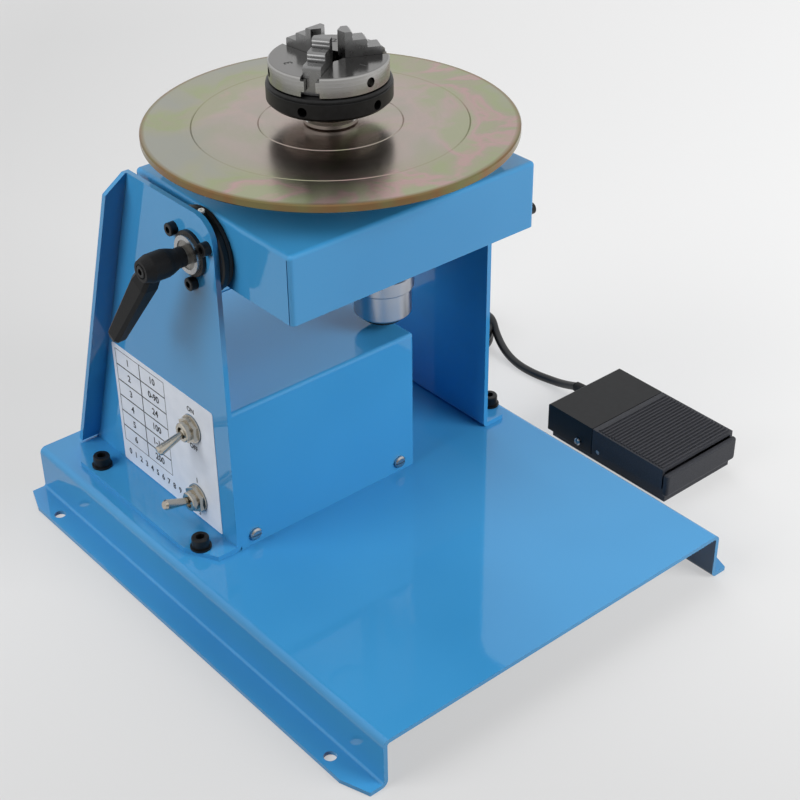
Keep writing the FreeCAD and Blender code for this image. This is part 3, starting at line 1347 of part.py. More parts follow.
def tube(name, points):
    """Straight runs joined by tangent arcs, each as large as its two runs allow."""
    spots = [Vector(*p) for p in points]
    pieces = []
    start = spots[0]
    length = 0
    radii = []
    for before, corner, after in zip(spots, spots[1:], spots[2:]):
        back, on = before - corner, after - corner
        half_turn = (math.pi - back.getAngle(on)) / 2
        reach = 0.45 * min(back.Length, on.Length)
        radius = reach / math.tan(half_turn)
        radii.append(round(radius, 1))
        back.normalize()
        on.normalize()
        enter, leave = corner + back * reach, corner + on * reach
        inward = (back + on).normalize()
        middle = corner + inward * (radius / math.cos(half_turn) - radius)
        pieces.append(Part.LineSegment(start, enter).toShape())
        pieces.append(Part.Arc(enter, middle, leave).toShape())
        length += (enter - start).Length + radius * half_turn * 2
        start = leave
    pieces.append(Part.LineSegment(start, spots[-1]).toShape())
    length += (spots[-1] - start).Length
    path = Part.Wire(pieces)
    radius = val("cord_radius")
    ring = Part.Wire(Part.Circle(spots[0], spots[1] - spots[0], radius).toShape())
    solid = path.makePipeShell([ring], True, False)
    expected = math.pi * radius ** 2 * length
    print(name, "radii", radii, "length", round(length, 1),
          "volume/expected", round(solid.Volume / expected, 4))
    item = doc.addObject("Part::Feature", name)
    item.Shape = solid
    return keep(item, name)


def pedal_cord():
    tube("pedal_cord_rear_run", REAR_ROUTE)
    tube("pedal_cord_front_run", FRONT_ROUTE)
    band = "cord_radius * 2"
    coil = turned("pedal_cord_coil", [
        (f"coil_radius - {band}", 0.1), (f"coil_radius + {band}", 0.1),
        (f"coil_radius + {band}", f"{band} * coil_layers"), (f"coil_radius - {band}", f"{band} * coil_layers"),
    ])
    place(coil, "coil_x", "coil_y", 0)
    plug = turned("pedal_plug", [
        (0, 0), ("socket_radius - 3.2", 0), ("socket_radius - 3.2", 5), ("socket_radius - 0.8", 5),
        ("socket_radius - 0.8", 5.2), ("plug_radius", 5.2), ("plug_radius", "plug_length - 3"),
        ("plug_radius - 2", "plug_length"), (5, "plug_length"),
        (3.4, "plug_length + boot_length"), (0, "plug_length + boot_length"),
    ])
    place(plug, "socket_x", "cover_far + 1.2", "socket_z", TO_BACK)


# ---------------------------------------------------------------- build, check and write

base_plate()
upright("left_upright", -1, "left_face", LEFT_OUTER)
upright("right_upright", 1, "right_face", RIGHT_OUTER)
foot_fasteners()
pivot_flanges()
tilt_box()
trunnions()
clamp_lever()
spindle_bearings()
spindle()
table_disc()
drive_gears()
motor()
chuck_mounting()
scroll_ring()
chuck_body()
chuck_jaws()
control_box()
electrics()
toggles()
pedal_tray()
pedal_shells()
pedal_parts()
pedal_cord()
doc.recompute()

failed = [
    f"{getattr(item.getParentGeoFeatureGroup(), 'Label', '')} {item.Label}"
    for item in doc.Objects if "Invalid" in item.State or "Error" in item.State
]
if failed:
    raise RuntimeError("failed: " + ", ".join(failed))
os.makedirs("parts", exist_ok=True)
for item in nodes:
    shape = item.Shape
    if shape.isNull() or not shape.isValid() or not shape.Solids:
        raise RuntimeError(f"{item.Label} has no sound shape")
    shape.exportStep(f"parts/{item.Label}.step")
print(len(nodes), "sub-parts written")
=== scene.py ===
"""Welding positioner: finishes, cord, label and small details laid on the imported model."""

import math

import bpy
from mathutils import Matrix, Quaternion, Vector


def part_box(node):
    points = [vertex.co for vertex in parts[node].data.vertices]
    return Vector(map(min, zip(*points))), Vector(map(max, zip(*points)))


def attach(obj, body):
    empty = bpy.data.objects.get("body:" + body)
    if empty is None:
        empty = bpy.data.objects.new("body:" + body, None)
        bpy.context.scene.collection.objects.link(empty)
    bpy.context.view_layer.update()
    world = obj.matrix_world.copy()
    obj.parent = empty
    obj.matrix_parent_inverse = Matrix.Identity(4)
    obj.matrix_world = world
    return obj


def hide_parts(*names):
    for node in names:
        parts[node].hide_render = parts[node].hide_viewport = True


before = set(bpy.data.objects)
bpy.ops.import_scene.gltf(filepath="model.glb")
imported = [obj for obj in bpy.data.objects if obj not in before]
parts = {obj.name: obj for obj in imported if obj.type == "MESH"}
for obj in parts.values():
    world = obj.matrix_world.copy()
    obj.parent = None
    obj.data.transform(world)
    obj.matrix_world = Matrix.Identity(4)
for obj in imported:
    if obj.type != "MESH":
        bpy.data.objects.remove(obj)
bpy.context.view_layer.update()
mm = 0.001

# Places in mm, angles in degrees from the right, turning to the back.
SPINDLE_Y = 21.5  # the table's axis; the head's pivots stand level with it
PIVOT_HEIGHT = 213.7
JAW_AZIMUTHS = (214, 334, 94)
PANEL = -92.0  # outer face of the left upright
FILM, INK = 0.25, 0.03  # how thick the label and its print are
TOGGLES = (97.0, 49.2)  # heights of the two switches
TOGGLE_ROW = 37.8
COIL_CENTRE = (186, 136)  # of the put-away cord, on the floor

CHUCK_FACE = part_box("chuck_body")[1].z  # in metres, as the shaders measure
BACKDROP = "#EFEFEF"


# ---------------------------------------------------------------- shading


def colour(code):
    """An sRGB hex code as the linear colour that a shader takes."""
    levels = [int(code[i:i + 2], 16) / 255 for i in (1, 3, 5)]
    return [v / 12.92 if v <= 0.04045 else ((v + 0.055) / 1.055) ** 2.4 for v in levels] + [1]


def add(tree, kind, inputs=None, **settings):
    """Adds a node; an input is given a value, a hex colour, or the socket that feeds it."""
    made = tree.nodes.new("ShaderNode" + kind)
    for name, value in settings.items():
        setattr(made, name, value)
    for name, value in (inputs or {}).items():
        if isinstance(value, bpy.types.NodeSocket):
            tree.links.new(value, made.inputs[name])
        else:
            made.inputs[name].default_value = colour(value) if isinstance(value, str) else value
    return made


def finish(name, **surface):
    """A material with its shader set, and the tree to which its pattern is added."""
    material = bpy.data.materials.new(name)
    material.use_nodes = True
    tree = material.node_tree
    shader = tree.nodes["Principled BSDF"]
    for key, value in surface.items():
        socket = shader.inputs[key.replace("_", " ")]
        socket.default_value = colour(value) if isinstance(value, str) else value
    return material, tree, shader


def on_piece(tree):
    """The point being shaded, in metres, on a piece that sits at the origin."""
    return add(tree, "TexCoord").outputs["Object"]


def from_spindle(tree):
    """Distance from the spindle's axis, height, and the point itself, all in metres."""
    centred = add(tree, "VectorMath", {0: on_piece(tree), 1: (0, SPINDLE_Y * mm, 0)},
                  operation="SUBTRACT").outputs[0]
    flat = add(tree, "VectorMath", {0: centred, 1: (1, 1, 0)}, operation="MULTIPLY").outputs[0]
    radius = add(tree, "VectorMath", {0: flat}, operation="LENGTH").outputs["Value"]
    height = add(tree, "SeparateXYZ", {0: centred}).outputs["Z"]
    return radius, height, centred


def dot(tree, point, direction):
    """How far a point lies along a direction."""
    return add(tree, "VectorMath", {0: point, 1: direction}, operation="DOT_PRODUCT").outputs["Value"]


def reckon(tree, operation, first, second, **settings):
    """A sum, product or the like of two values."""
    return add(tree, "Math", {0: first, 1: second}, operation=operation, **settings).outputs[0]


def level(tree, value, start, end, low=0.0, high=1.0):
    """Runs from low to high while a value goes from start to end."""
    return add(tree, "MapRange", {"Value": value, "From Min": start, "From Max": end,
                                  "To Min": low, "To Max": high}).outputs["Result"]


def noise(tree, point, scale, detail=2.0, distortion=0.0):
    """A cloudy pattern; the scale is its features in a metre."""
    return add(tree, "TexNoise", {"Vector": point, "Scale": scale, "Detail": detail,
                                  "Distortion": distortion}).outputs["Fac"]


def stripes(tree, along, pitch, detail):
    """Uneven bands across a length, about a pitch apart."""
    return add(tree, "TexNoise", {"W": along, "Scale": 1 / pitch, "Detail": detail},
               noise_dimensions="1D").outputs["Fac"]


def mix(tree, share, first, second, **settings):
    """The first colour at a share of 0, the second at 1."""
    return add(tree, "Mix", {"Factor": share, "A": first, "B": second}, data_type="RGBA",
               **settings).outputs["Result"]


def ramp(tree, value, *stops):
    """A colour picked by a value from stops: a place, then a hex colour or a grey level."""
    node = add(tree, "ValToRGB", {"Fac": value})
    elements = node.color_ramp.elements
    while len(elements) < len(stops):
        elements.new(1)
    for element, (place, tone) in zip(elements, stops):
        element.position = place
        element.color = colour(tone) if isinstance(tone, str) else (tone, tone, tone, 1)
    return node.outputs["Color"]


def relief(tree, shader, height, strength, distance, coat=False):
    """Fine relief in the surface, or in the clear coat over it."""
    bump = add(tree, "Bump", {"Height": height, "Strength": strength, "Distance": distance})
    tree.links.new(bump.outputs[0], shader.inputs["Coat Normal" if coat else "Normal"])


def any_ray(tree, ray, *kinds):
    """1 for a ray of any of these kinds, 0 for the rest."""
    found = ray.outputs[f"Is {kinds[0]} Ray"]
    for kind in kinds[1:]:
        found = reckon(tree, "ADD", found, ray.outputs[f"Is {kind} Ray"], use_clamp=True)
    return found


# ---------------------------------------------------------------- shaping


def nothing_selected():
    if bpy.context.object and bpy.context.object.mode != "OBJECT":
        bpy.ops.object.mode_set(mode="OBJECT")
    bpy.ops.object.select_all(action="DESELECT")


def pick(piece):
    """Selects one piece alone and makes it the one that the next step works on."""
    nothing_selected()
    piece.select_set(True)
    bpy.context.view_layer.objects.active = piece


def open_piece(piece, kind="FACE", wanted=None):
    """Opens a piece in edit mode with all, or only the wanted, faces or edges selected."""
    pick(piece)
    bpy.ops.object.mode_set(mode="EDIT")
    bpy.ops.mesh.select_mode(type=kind)
    bpy.ops.mesh.select_all(action="DESELECT" if wanted else "SELECT")
    if not wanted:
        return
    bpy.ops.object.mode_set(mode="OBJECT")
    if kind == "FACE":
        for face in piece.data.polygons:
            face.select = wanted(face.center, face.normal)
    else:
        for edge in piece.data.edges:
            start, end = (piece.data.vertices[i].co for i in edge.vertices)
            edge.select = wanted((start + end) / 2, (end - start).normalized())
    bpy.ops.object.mode_set(mode="EDIT")


def settle(piece):
    """Puts a piece's place into its mesh, so that its object sits at the origin."""
    pick(piece)
    bpy.ops.object.transform_apply(location=True, rotation=True, scale=True)
    return piece


def slab(low, high):
    """A block between two corners in mm, from which a piece is shaped."""
    nothing_selected()
    middle = [(a + b) / 2 * mm for a, b in zip(low, high)]
    span = [(b - a) * mm for a, b in zip(low, high)]
    bpy.ops.mesh.primitive_cube_add(size=1, location=middle, scale=span)
    return settle(bpy.context.object)


def rod(radius, length, place, sides, lying=False):
    """A cylinder centred on a place, all in mm, standing up or lying from left to right."""
    nothing_selected()
    bpy.ops.mesh.primitive_cylinder_add(vertices=sides, radius=radius * mm, depth=length * mm,
                                        location=[v * mm for v in place],
                                        rotation=(0, math.radians(90) if lying else 0, 0))
    return settle(bpy.context.object)


def use(piece, kind, **settings):
    """Adds a modifier to a piece and applies it."""
    pick(piece)
    step = piece.modifiers.new(kind.lower(), kind)
    for name, value in settings.items():
        setattr(step, name, value)
    bpy.ops.object.modifier_apply(modifier=step.name)


def cut(piece, tool):
    """Takes the tool's shape out of a piece."""
    use(piece, "BOOLEAN", operation="DIFFERENCE", solver="EXACT", object=tool)
    bpy.data.objects.remove(tool)


def merge(pieces):
    """Joins several pieces into the first."""
    nothing_selected()
    for piece in pieces:
        piece.select_set(True)
    bpy.context.view_layer.objects.active = pieces[0]
    bpy.ops.object.join()
    return pieces[0]


def complete(piece, name, body, material):
    """Names a piece, smooths its curves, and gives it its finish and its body."""
    pick(piece)
    bpy.ops.object.shade_smooth_by_angle(angle=math.radians(32))
    piece.name = name
    piece.data.materials.clear()
    piece.data.materials.append(material)
    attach(piece, body)
    nothing_selected()
    return piece


# ---------------------------------------------------------------- camera, floor and light


def camera():
    """The view in which the part is shown, with its slight roll."""
    bpy.context.scene.view_settings.view_transform = "Standard"
    data = bpy.data.cameras.new("camera")
    data.lens = 72.3
    eye = bpy.data.objects.new("camera", data)
    bpy.context.scene.collection.objects.link(eye)
    eye.location = (-0.4791, -0.6028, 0.5998)
    aim = Vector((0.0145, -0.0153, 0.0959)) - eye.location
    roll = Quaternion((0, 0, 1), math.radians(-0.62))
    eye.rotation_euler = (aim.to_track_quat("-Z", "Y") @ roll).to_euler()
    bpy.context.scene.camera = eye


def pale_floor():
    """A floor that brightens to the right and the back, and far off melts into the backdrop."""
    nothing_selected()
    bpy.ops.mesh.primitive_plane_add(size=12, location=(0, 0, 0))
    floor = bpy.context.object
    floor.name = "floor"
    paper, tree, shader = finish("paper_floor", Roughness=0.95, Specular_IOR_Level=0.1)
    point = on_piece(tree)
    to_the_right = level(tree, dot(tree, point, (0.76, -0.65, 0)), -0.35, 0.45)
    to_the_back = level(tree, dot(tree, point, (0.54, 0.64, 0)), -0.32, 0.1)
    distance = add(tree, "VectorMath", {0: point}, operation="LENGTH").outputs["Value"]
    sideways = ramp(tree, to_the_right, (0, "#D7D7D7"), (1, "#F7F7F7"))
    near = mix(tree, to_the_back, "#CFCFCF", sideways)
    shade = mix(tree, level(tree, distance, 0.9, 2.2), near, BACKDROP)
    tree.links.new(shade, shader.inputs["Base Color"])

    # Looked at or mirrored, it lends light of its own; to diffuse rays it is a dim grey.
    ray = add(tree, "LightPath")
    glow = add(tree, "Emission", {"Color": shade, "Strength": 1.0})
    dim = add(tree, "BsdfDiffuse", {"Color": "#5E5E5E"})
    own_light = reckon(tree, "MULTIPLY", any_ray(tree, ray, "Camera", "Glossy", "Transmission"),
                       level(tree, distance, 0.7, 1.8, 0.62, 1.0))
    bounced = add(tree, "MixShader", {0: ray.outputs["Is Diffuse Ray"], 1: shader.outputs[0],
                                      2: dim.outputs[0]})
    seen = add(tree, "MixShader", {0: own_light, 1: bounced.outputs[0], 2: glow.outputs[0]})
    tree.links.new(seen.outputs[0], tree.nodes["Material Output"].inputs["Surface"])
    floor.data.materials.append(paper)


def sky():
    """Plain light all round; what shines mirrors a soft dome with a darker gap in front."""
    world = bpy.context.scene.world or bpy.data.worlds.new("sky")
    bpy.context.scene.world = world
    world.use_nodes = True
    tree = world.node_tree
    ray = add(tree, "LightPath")
    direction = add(tree, "TexCoord").outputs["Generated"]
    rise = add(tree, "SeparateXYZ", {0: direction}).outputs["Z"]
    gap = ramp(tree, dot(tree, direction, (-0.4, -0.92, 0)), (0, 1.0), (0.72, 1.0), (0.93, 0.3))
    dome = ramp(tree, rise, (0, 0.66), (0.4, 0.93))
    mirrored = mix(tree, 1.0, gap, dome, blend_type="MULTIPLY")
    cast = mix(tree, ray.outputs["Is Glossy Ray"], "#424345", mirrored)
    shown = mix(tree, any_ray(tree, ray, "Camera", "Transmission"), cast, BACKDROP)
    tree.links.new(shown, tree.nodes["Background"].inputs["Color"])


def lamp(name, place, aim, size, power):
    """A soft box that lights the model but isn't mirrored in it."""
    data = bpy.data.lights.new(name, "AREA")
    data.shape = "RECTANGLE"
    data.size, data.size_y = size
    data.energy = power
    item = bpy.data.objects.new(name, data)
    item.location = place
    item.rotation_euler = (Vector(aim) - Vector(place)).to_track_quat("-Z", "Y").to_euler()
    item.visible_glossy = False
    bpy.context.scene.collection.objects.link(item)


def studio():
    """The floor, the sky and four soft boxes: left, right, behind and above."""
    pale_floor()
    sky()
    lamp("left_box", (-1.35, 0.3, 1.0), (0, 0, 0.15), (1.1, 1.1), 22)
    lamp("right_box", (0.75, -1.4, 0.9), (0, 0, 0.15), (1.0, 1.1), 32)
    lamp("back_box", (0.7, 1.4, 0.9), (0, 0, 0.15), (1.1, 1.1), 8)
    lamp("top_box", (0.2, 0.5, 1.7), (0, 0, 0.1), (1.3, 1.0), 7)


# ---------------------------------------------------------------- finishes


def gloss_enamel():
    """Stoved gloss enamel on sheet steel: even colour, faint orange peel, clear reflections."""
    made, tree, shader = finish("stoved_gloss_enamel", Roughness=0.5, Specular_IOR_Level=0.0,
                                Coat_Weight=1.0, Coat_IOR=1.5, Coat_Roughness=0.05)
    point = on_piece(tree)
    tone = ramp(tree, noise(tree, point, 7.0), (0.35, "#3A8DC3"), (0.65, "#4195CB"))
    tree.links.new(tone, shader.inputs["Base Color"])
    relief(tree, shader, noise(tree, point, 1 / (3 * mm), 1.0), 0.04, 0.3 * mm, coat=True)
    return made


def yellow_zinc():
    """Yellow passivated zinc on a ground face: grey olive with green and pink bloom, near mirror."""
    made, tree, shader = finish("yellow_passivated_zinc", Metallic=1.0)
    radius, _, point = from_spindle(tree)
    cloud = noise(tree, point, 21.0, 4.0, 0.5)
    bloom = reckon(tree, "ADD", cloud, dot(tree, point, (0.35, -1.1, 0)))
    inner = ramp(tree, cloud, (0.36, "#A3A18F"), (0.47, "#ABA198"), (0.56, "#B2A29B"),
                 (0.66, "#A3A58A"))
    outer = ramp(tree, bloom, (0.32, "#9E9F95"), (0.43, "#A1A18F"), (0.51, "#9DA47F"),
                 (0.58, "#A49F8A"), (0.62, "#B89A97"), (0.69, "#A2A587"))
    face = mix(tree, level(tree, radius, 60 * mm, 80 * mm), inner, outer)
    rim = ramp(tree, noise(tree, point, 34.0), (0.35, "#7F7650"), (0.52, "#866848"),
               (0.68, "#7A7A54"))
    tone = mix(tree, level(tree, radius, 97 * mm, 99.6 * mm), face, rim)
    tree.links.new(tone, shader.inputs["Base Color"])
    rings = stripes(tree, radius, 0.8 * mm, 2.0)
    wiped = reckon(tree, "ADD", rings, noise(tree, point, 24.0, 4.0))
    tree.links.new(level(tree, wiped, 0.7, 1.3, 0.18, 0.27), shader.inputs["Roughness"])
    relief(tree, shader, rings, 0.02, 0.1 * mm)
    return made


def turned_steel(name, flank, face, roughness, pitch, depth):
    """Bare steel turned round the spindle with fine tool rings; the face takes a darker tone than the
    flank, which is painted shade.
    """
    made, tree, shader = finish(name, Metallic=1.0)
    radius, height, _ = from_spindle(tree)
    # Above this height lies the face, painted in the darker tone as shade.
    painted_shade_on_face = level(tree, height, CHUCK_FACE - 0.4 * mm, CHUCK_FACE - 0.1 * mm)
    tree.links.new(mix(tree, painted_shade_on_face, flank, face), shader.inputs["Base Color"])
    rings = stripes(tree, reckon(tree, "ADD", radius, height), pitch, 1.5)
    rough = level(tree, rings, 0.3, 0.7, roughness - 0.05, roughness + 0.07)
    tree.links.new(rough, shader.inputs["Roughness"])
    relief(tree, shader, rings, depth, 0.08 * mm)
    return made


def plain_metal(name, tone, roughness, grain, spread=0.06):
    """Metal with a fine even grain in its gloss."""
    made, tree, shader = finish(name, Metallic=1.0, Base_Color=tone)
    mottle = noise(tree, on_piece(tree), 1 / grain, 3.0)
    rough = level(tree, mottle, 0.3, 0.7, roughness - spread, roughness + spread)
    tree.links.new(rough, shader.inputs["Roughness"])
    return made


def black_oxide():
    """Blackened steel: a thin dark oxide with a soft oily gloss."""
    made, tree, shader = finish("black_oxide_steel", Metallic=0.4, Roughness=0.42)
    mottle = noise(tree, on_piece(tree), 1 / (4 * mm), 4.0)
    tone = ramp(tree, mottle, (0.3, "#111111"), (0.7, "#1C1C1D"))
    tree.links.new(tone, shader.inputs["Base Color"])
    return made


def moulding(name, dark, light, roughness, grain, depth, shine=0.5):
    """Plastic, rubber, film or ink: two close tones and a grain coarse enough to show."""
    made, tree, shader = finish(name, Roughness=roughness, IOR=1.5, Specular_IOR_Level=shine)
    spark = noise(tree, on_piece(tree), 1 / grain)
    tone = ramp(tree, spark, (0.35, dark), (0.7, light))
    tree.links.new(tone, shader.inputs["Base Color"])
    relief(tree, shader, spark, depth, 0.15 * mm)
    return made


enamel = gloss_enamel()  # one blue, with crisp reflections
table_zinc = yellow_zinc()  # straw, green and pink over a soft mirror

# Light ground flank and a greyer face, the face's darker tone being painted shade; then an evenly
# bright turned hub.
chuck_steel = turned_steel("ground_chuck_steel", "#ABAAA8", "#7F7E7D", 0.17, 0.5 * mm, 0.03)
hub_steel = turned_steel("turned_hub_steel", "#B0AEAA", "#B0AEAA", 0.18, 0.7 * mm, 0.05)

jaw_steel = plain_metal("hardened_jaw_steel", "#8C8C8C", 0.3, 3 * mm)  # satin grey
tooth_highlight_steel = plain_metal("tooth_steel_painted_highlight", "#D7D7D7", 0.26, 3 * mm)  # bright ridges: painted highlight, much lighter than the jaws
bearing_steel = plain_metal("bearing_steel", "#B4B4B6", 0.18, 5 * mm)  # polished
gear_steel = plain_metal("oiled_gear_steel", "#8C8A86", 0.33, 1.5 * mm)  # dull and oily
oxide = black_oxide()  # soft black
bright_zinc = plain_metal("bright_zinc_plate", "#B9BABB", 0.28, 5 * mm, 0.03)  # cool silver
nickel = plain_metal("nickel_plate", "#BDB7AB", 0.24, 6 * mm, 0.04)  # warm silver
aluminium = plain_metal("machined_aluminium", "#C3C5C9", 0.3, 1 * mm)  # pale, finely cut
can_metal = plain_metal("plated_motor_can", "#B6BAC2", 0.3, 6 * mm, 0.03)  # blue silver

lever_nylon = moulding("glass_filled_nylon", "#0F0F10", "#161617", 0.5, 0.7 * mm, 0.25, 0.22)  # black
pedal_abs = moulding("abs_grained", "#2C2D31", "#38393E", 0.5, 0.8 * mm, 0.3, 0.3)  # dark grey
smooth_abs = moulding("abs_smooth", "#121315", "#17181A", 0.45, 3 * mm, 0.05, 0.3)  # satin black
pvc = moulding("soft_pvc_sheath", "#18191B", "#1E1F21", 0.42, 4 * mm, 0.04)  # slightly glossy
rubber = moulding("moulded_rubber", "#161616", "#1F1F1F", 0.7, 0.9 * mm, 0.25)  # matt black
label_film = moulding("printed_polyester_film", "#D6DCE6", "#DEE3EC", 0.36, 9 * mm, 0.02)  # white
label_ink = moulding("screen_printed_ink", "#0C0E12", "#14171C", 0.6, 2 * mm, 0.05)  # blue black
stamped_figure_shade_ink = moulding("stamped_figure_shadow", "#2C2C2C", "#363636", 0.6, 1 * mm, 0.05)  # painted shade in stamped dents
white_dab_highlight_paint = moulding("white_dab_painted_highlight", "#E9E9E4", "#F2F2EE", 0.4, 2 * mm, 0.1)  # white dab: painted highlight on the flange's set screw
board = moulding("glass_epoxy_board", "#14502E", "#1B6238", 0.4, 1.5 * mm, 0.05)  # green

FINISHES = {
    enamel: ["base_plate", "left_upright", "right_upright", "tilt_box", "control_box_cover",
             "cover_strips"],
    table_zinc: ["table_disc"],
    chuck_steel: ["chuck_body", "chuck_back_plate"],
    hub_steel: ["chuck_hub", "spindle_shaft"],
    jaw_steel: ["chuck_jaw_1", "chuck_jaw_2", "chuck_jaw_3"],
    bearing_steel: ["spindle_bearing_outers", "spindle_bearing_inners"],
    gear_steel: ["spindle_wheel", "motor_pinion", "left_trunnion", "right_trunnion"],
    oxide: ["scroll_ring", "left_pivot_flange", "right_pivot_flange", "pivot_flange_screws",
            "pivot_thrust_washers", "upright_foot_fasteners", "head_screws", "lever_screw"],
    bright_zinc: ["lever_washer", "pivot_lock_nut", "control_box_screws", "wheel_fastener",
                  "pedal_cover_screws", "pedal_hinge_pin", "pedal_socket"],
    nickel: ["toggle_nuts", "toggle_bodies", "upper_toggle_lever", "lower_toggle_lever"],
    aluminium: ["bearing_housing", "motor_plate", "motor_posts"],
    can_metal: ["motor_gearbox", "motor_can"],
    lever_nylon: ["clamp_lever"],
    pedal_abs: ["pedal_tray", "pedal_tread"],
    smooth_abs: ["pedal_rear_cover", "pedal_switch", "motor_end_cap", "mains_inlet", "pedal_plug",
                 "power_supply"],
    rubber: ["pedal_feet", "pedal_cord_boot"],
    board: ["speed_board"],
}
for material, names in FINISHES.items():
    for name in names:
        for place in parts[name].material_slots:
            place.material = material


# ---------------------------------------------------------------- cord

# Points in mm, listed: from the plug to the coil, and from the coil to the pedal.
REAR_ROUTE = [
    (-25, 162.2, 62), (-24.5, 177, 60), (-17, 190, 49), (-4, 200, 34), (13, 206, 18),
    (34, 207, 7), (58, 202, 2.9), (84, 196, 2.9), (110, 191, 2.9), (134, 184, 2.9),
    (158, 174, 2.9),
]
FRONT_ROUTE = [
    (206.5, 106, 10), (200, 90, 5), (197, 74, 2.9), (197, 58, 2.9),
    (199.5, 44, 3.2), (199.5, 30, 6), (197, 17, 12),
]


def coil_point(wound, radius, height):
    """Where the cord is after so many degrees of winding, which start at the coil's back."""
    turn = math.radians(90 - wound)
    return (COIL_CENTRE[0] + radius * math.cos(turn), COIL_CENTRE[1] + radius * math.sin(turn),
            height)


def coil_turns():
    """Six turns in two columns and three layers; each turn steps to its next seat a little sooner."""
    outer, inner = 31.6, 26.0
    floor, second, third = 2.9, 8.45, 14.0
    seats = [  # degrees wound on reaching and on leaving each seat, its radius and its height
        (8, 330, outer, floor), (360, 660, inner, floor), (690, 990, inner, second),
        (1020, 1320, outer, second), (1350, 1650, outer, third), (1680, 1895, inner, third),
    ]
    points = []
    for start, stop, radius, height in seats:
        steps = round((stop - start) / 18)
        points += [coil_point(start + (stop - start) * k / steps, radius, height)
                   for k in range(steps + 1)]
    return points + [coil_point(1915, 28.0, 17.2), coil_point(1936, 32.8, 18.6)]


def coil_tie():
    """A cable tie round the put-away turns: a flat strap with a ratchet head on top."""
    x, y = COIL_CENTRE[0] - 28.8, COIL_CENTRE[1]
    reach, height, wide, thick = 6.9, 17.9, 4.2, 0.9
    strap = slab((x - reach, y - wide / 2, 0.0), (x + reach, y + wide / 2, height))
    open_piece(strap, "EDGE", lambda middle, along: abs(along.y) > 0.99)
    bpy.ops.mesh.bevel(offset=3.6 * mm, segments=5, affect="EDGES")
    open_piece(strap, "FACE", lambda middle, normal: abs(normal.y) > 0.99)
    bpy.ops.mesh.delete(type="FACE")
    use(strap, "SOLIDIFY", thickness=thick * mm, offset=-1.0)
    head = slab((x - 2.6, y - 3.4, height - 0.6), (x + 2.6, y + 3.4, height + 3.4))
    open_piece(head, "FACE", lambda middle, normal: normal.x > 0.99)
    bpy.ops.mesh.inset(thickness=0.9 * mm)
    bpy.ops.mesh.extrude_region_move(TRANSFORM_OT_translate={"value": (-1.2 * mm, 0, 0)})
    use(head, "BEVEL", width=0.5 * mm, segments=2)
    return complete(merge([strap, head]), "coil_tie", "root", lever_nylon)


def pedal_cord():
    """The pedal's lead: over the floor, wound in a tied coil behind, then up to the control box."""
    route = REAR_ROUTE + coil_turns() + FRONT_ROUTE
    route.reverse()
    data = bpy.data.curves.new("pedal_cord", "CURVE")
    data.dimensions = "3D"
    data.bevel_depth = 2.75 * mm  # half of its diameter
    data.bevel_resolution = 4
    data.resolution_u = 6
    data.use_fill_caps = True
    line = data.splines.new("NURBS")
    line.points.add(len(route) - 1)
    for point, (x, y, z) in zip(line.points, route):
        point.co = (x * mm, y * mm, z * mm, 1)
    line.order_u = 3
    line.use_endpoint_u = True
    lead = bpy.data.objects.new("pedal_cord", data)
    bpy.context.scene.collection.objects.link(lead)
    data.materials.append(pvc)
    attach(lead, "root")
    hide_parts("pedal_cord_rear_run", "pedal_cord_front_run", "pedal_cord_coil")
    coil_tie()


# ---------------------------------------------------------------- label and figures


def wording(text, size, place, across, upward):
    """A line of figures as thin raised print, centred on a place and read along across."""
    nothing_selected()
    bpy.ops.object.text_add()
    line = bpy.context.object
    line.data.body = text
    line.data.size = size * mm
    line.data.extrude = INK / 2 * mm
    line.data.offset = 0.16 * mm  # makes the strokes bolder
    line.data.resolution_u = 3
    line.data.align_x = "CENTER"
    line.data.align_y = "CENTER"
    bpy.ops.object.convert(target="MESH")
    line = bpy.context.object
    across, upward = Vector(across), Vector(upward)
    turn = Matrix((across, upward, across.cross(upward))).transposed().to_4x4()
    line.matrix_world = Matrix.Translation([v * mm for v in place]) @ turn
    return settle(line)


def switch_label():
    """Printed film behind the two switches, with rounded corners and a hole round each washer."""
    film = slab((PANEL - FILM, 15.8, 34.8), (PANEL, 118, 117.4))
    open_piece(film, "EDGE", lambda middle, along: abs(along.x) > 0.99)
    bpy.ops.mesh.bevel(offset=1.5 * mm, segments=4, affect="EDGES")
    for height in TOGGLES:
        cut(film, rod(8.75, 4, (PANEL, TOGGLE_ROW, height), sides=48, lying=True))
    return complete(film, "switch_label", "root", label_film)


def label_print():
    """The label's ink: a ruled table of plain numbers, the switch marks and a numbered row."""
    skin = PANEL - FILM - INK
    rows, tall, wide, top = 6, 64.5, 51, 114.4
    nothing_selected()
    bpy.ops.mesh.primitive_grid_add(x_subdivisions=rows, y_subdivisions=2, size=1,
                                    location=(skin * mm, 89.5 * mm, 82.2 * mm),
                                    rotation=(0, math.radians(-90), 0))
    rules = bpy.context.object
    rules.scale = (tall * mm, wide * mm, 1)
    settle(rules)
    open_piece(rules)
    bpy.ops.mesh.inset(thickness=0.38 * mm, use_individual=True)
    bpy.ops.mesh.delete(type="FACE")
    use(rules, "SOLIDIFY", thickness=0.04 * mm, offset=0.0)

    figures = []  # text, its size, its place along y, its height
    for middle, texts in ((102.2, ("1", "2", "3", "4", "5", "6")),
                          (76.7, ("10", "0-90", "24", "100", "1-12", "200"))):
        figures += [(text, 6.2, middle, top - tall * (row + 0.5) / rows)
                    for row, text in enumerate(texts)]
    figures += [("ON", 4.4, TOGGLE_ROW, 109.0), ("OFF", 4.4, TOGGLE_ROW, 84.0),
                ("1", 4.6, TOGGLE_ROW, 61.0), ("2", 3.0, TOGGLE_ROW, 37.9),
                ("0  1  2  3  4  5  6  7  8  9", 5.6, 84, 43)]
    ink = [wording(text, size, (skin, y, height), (0, -1, 0), (0, 0, 1))
           for text, size, y, height in figures]
    return complete(merge([rules] + ink), "label_print", "root", label_ink)


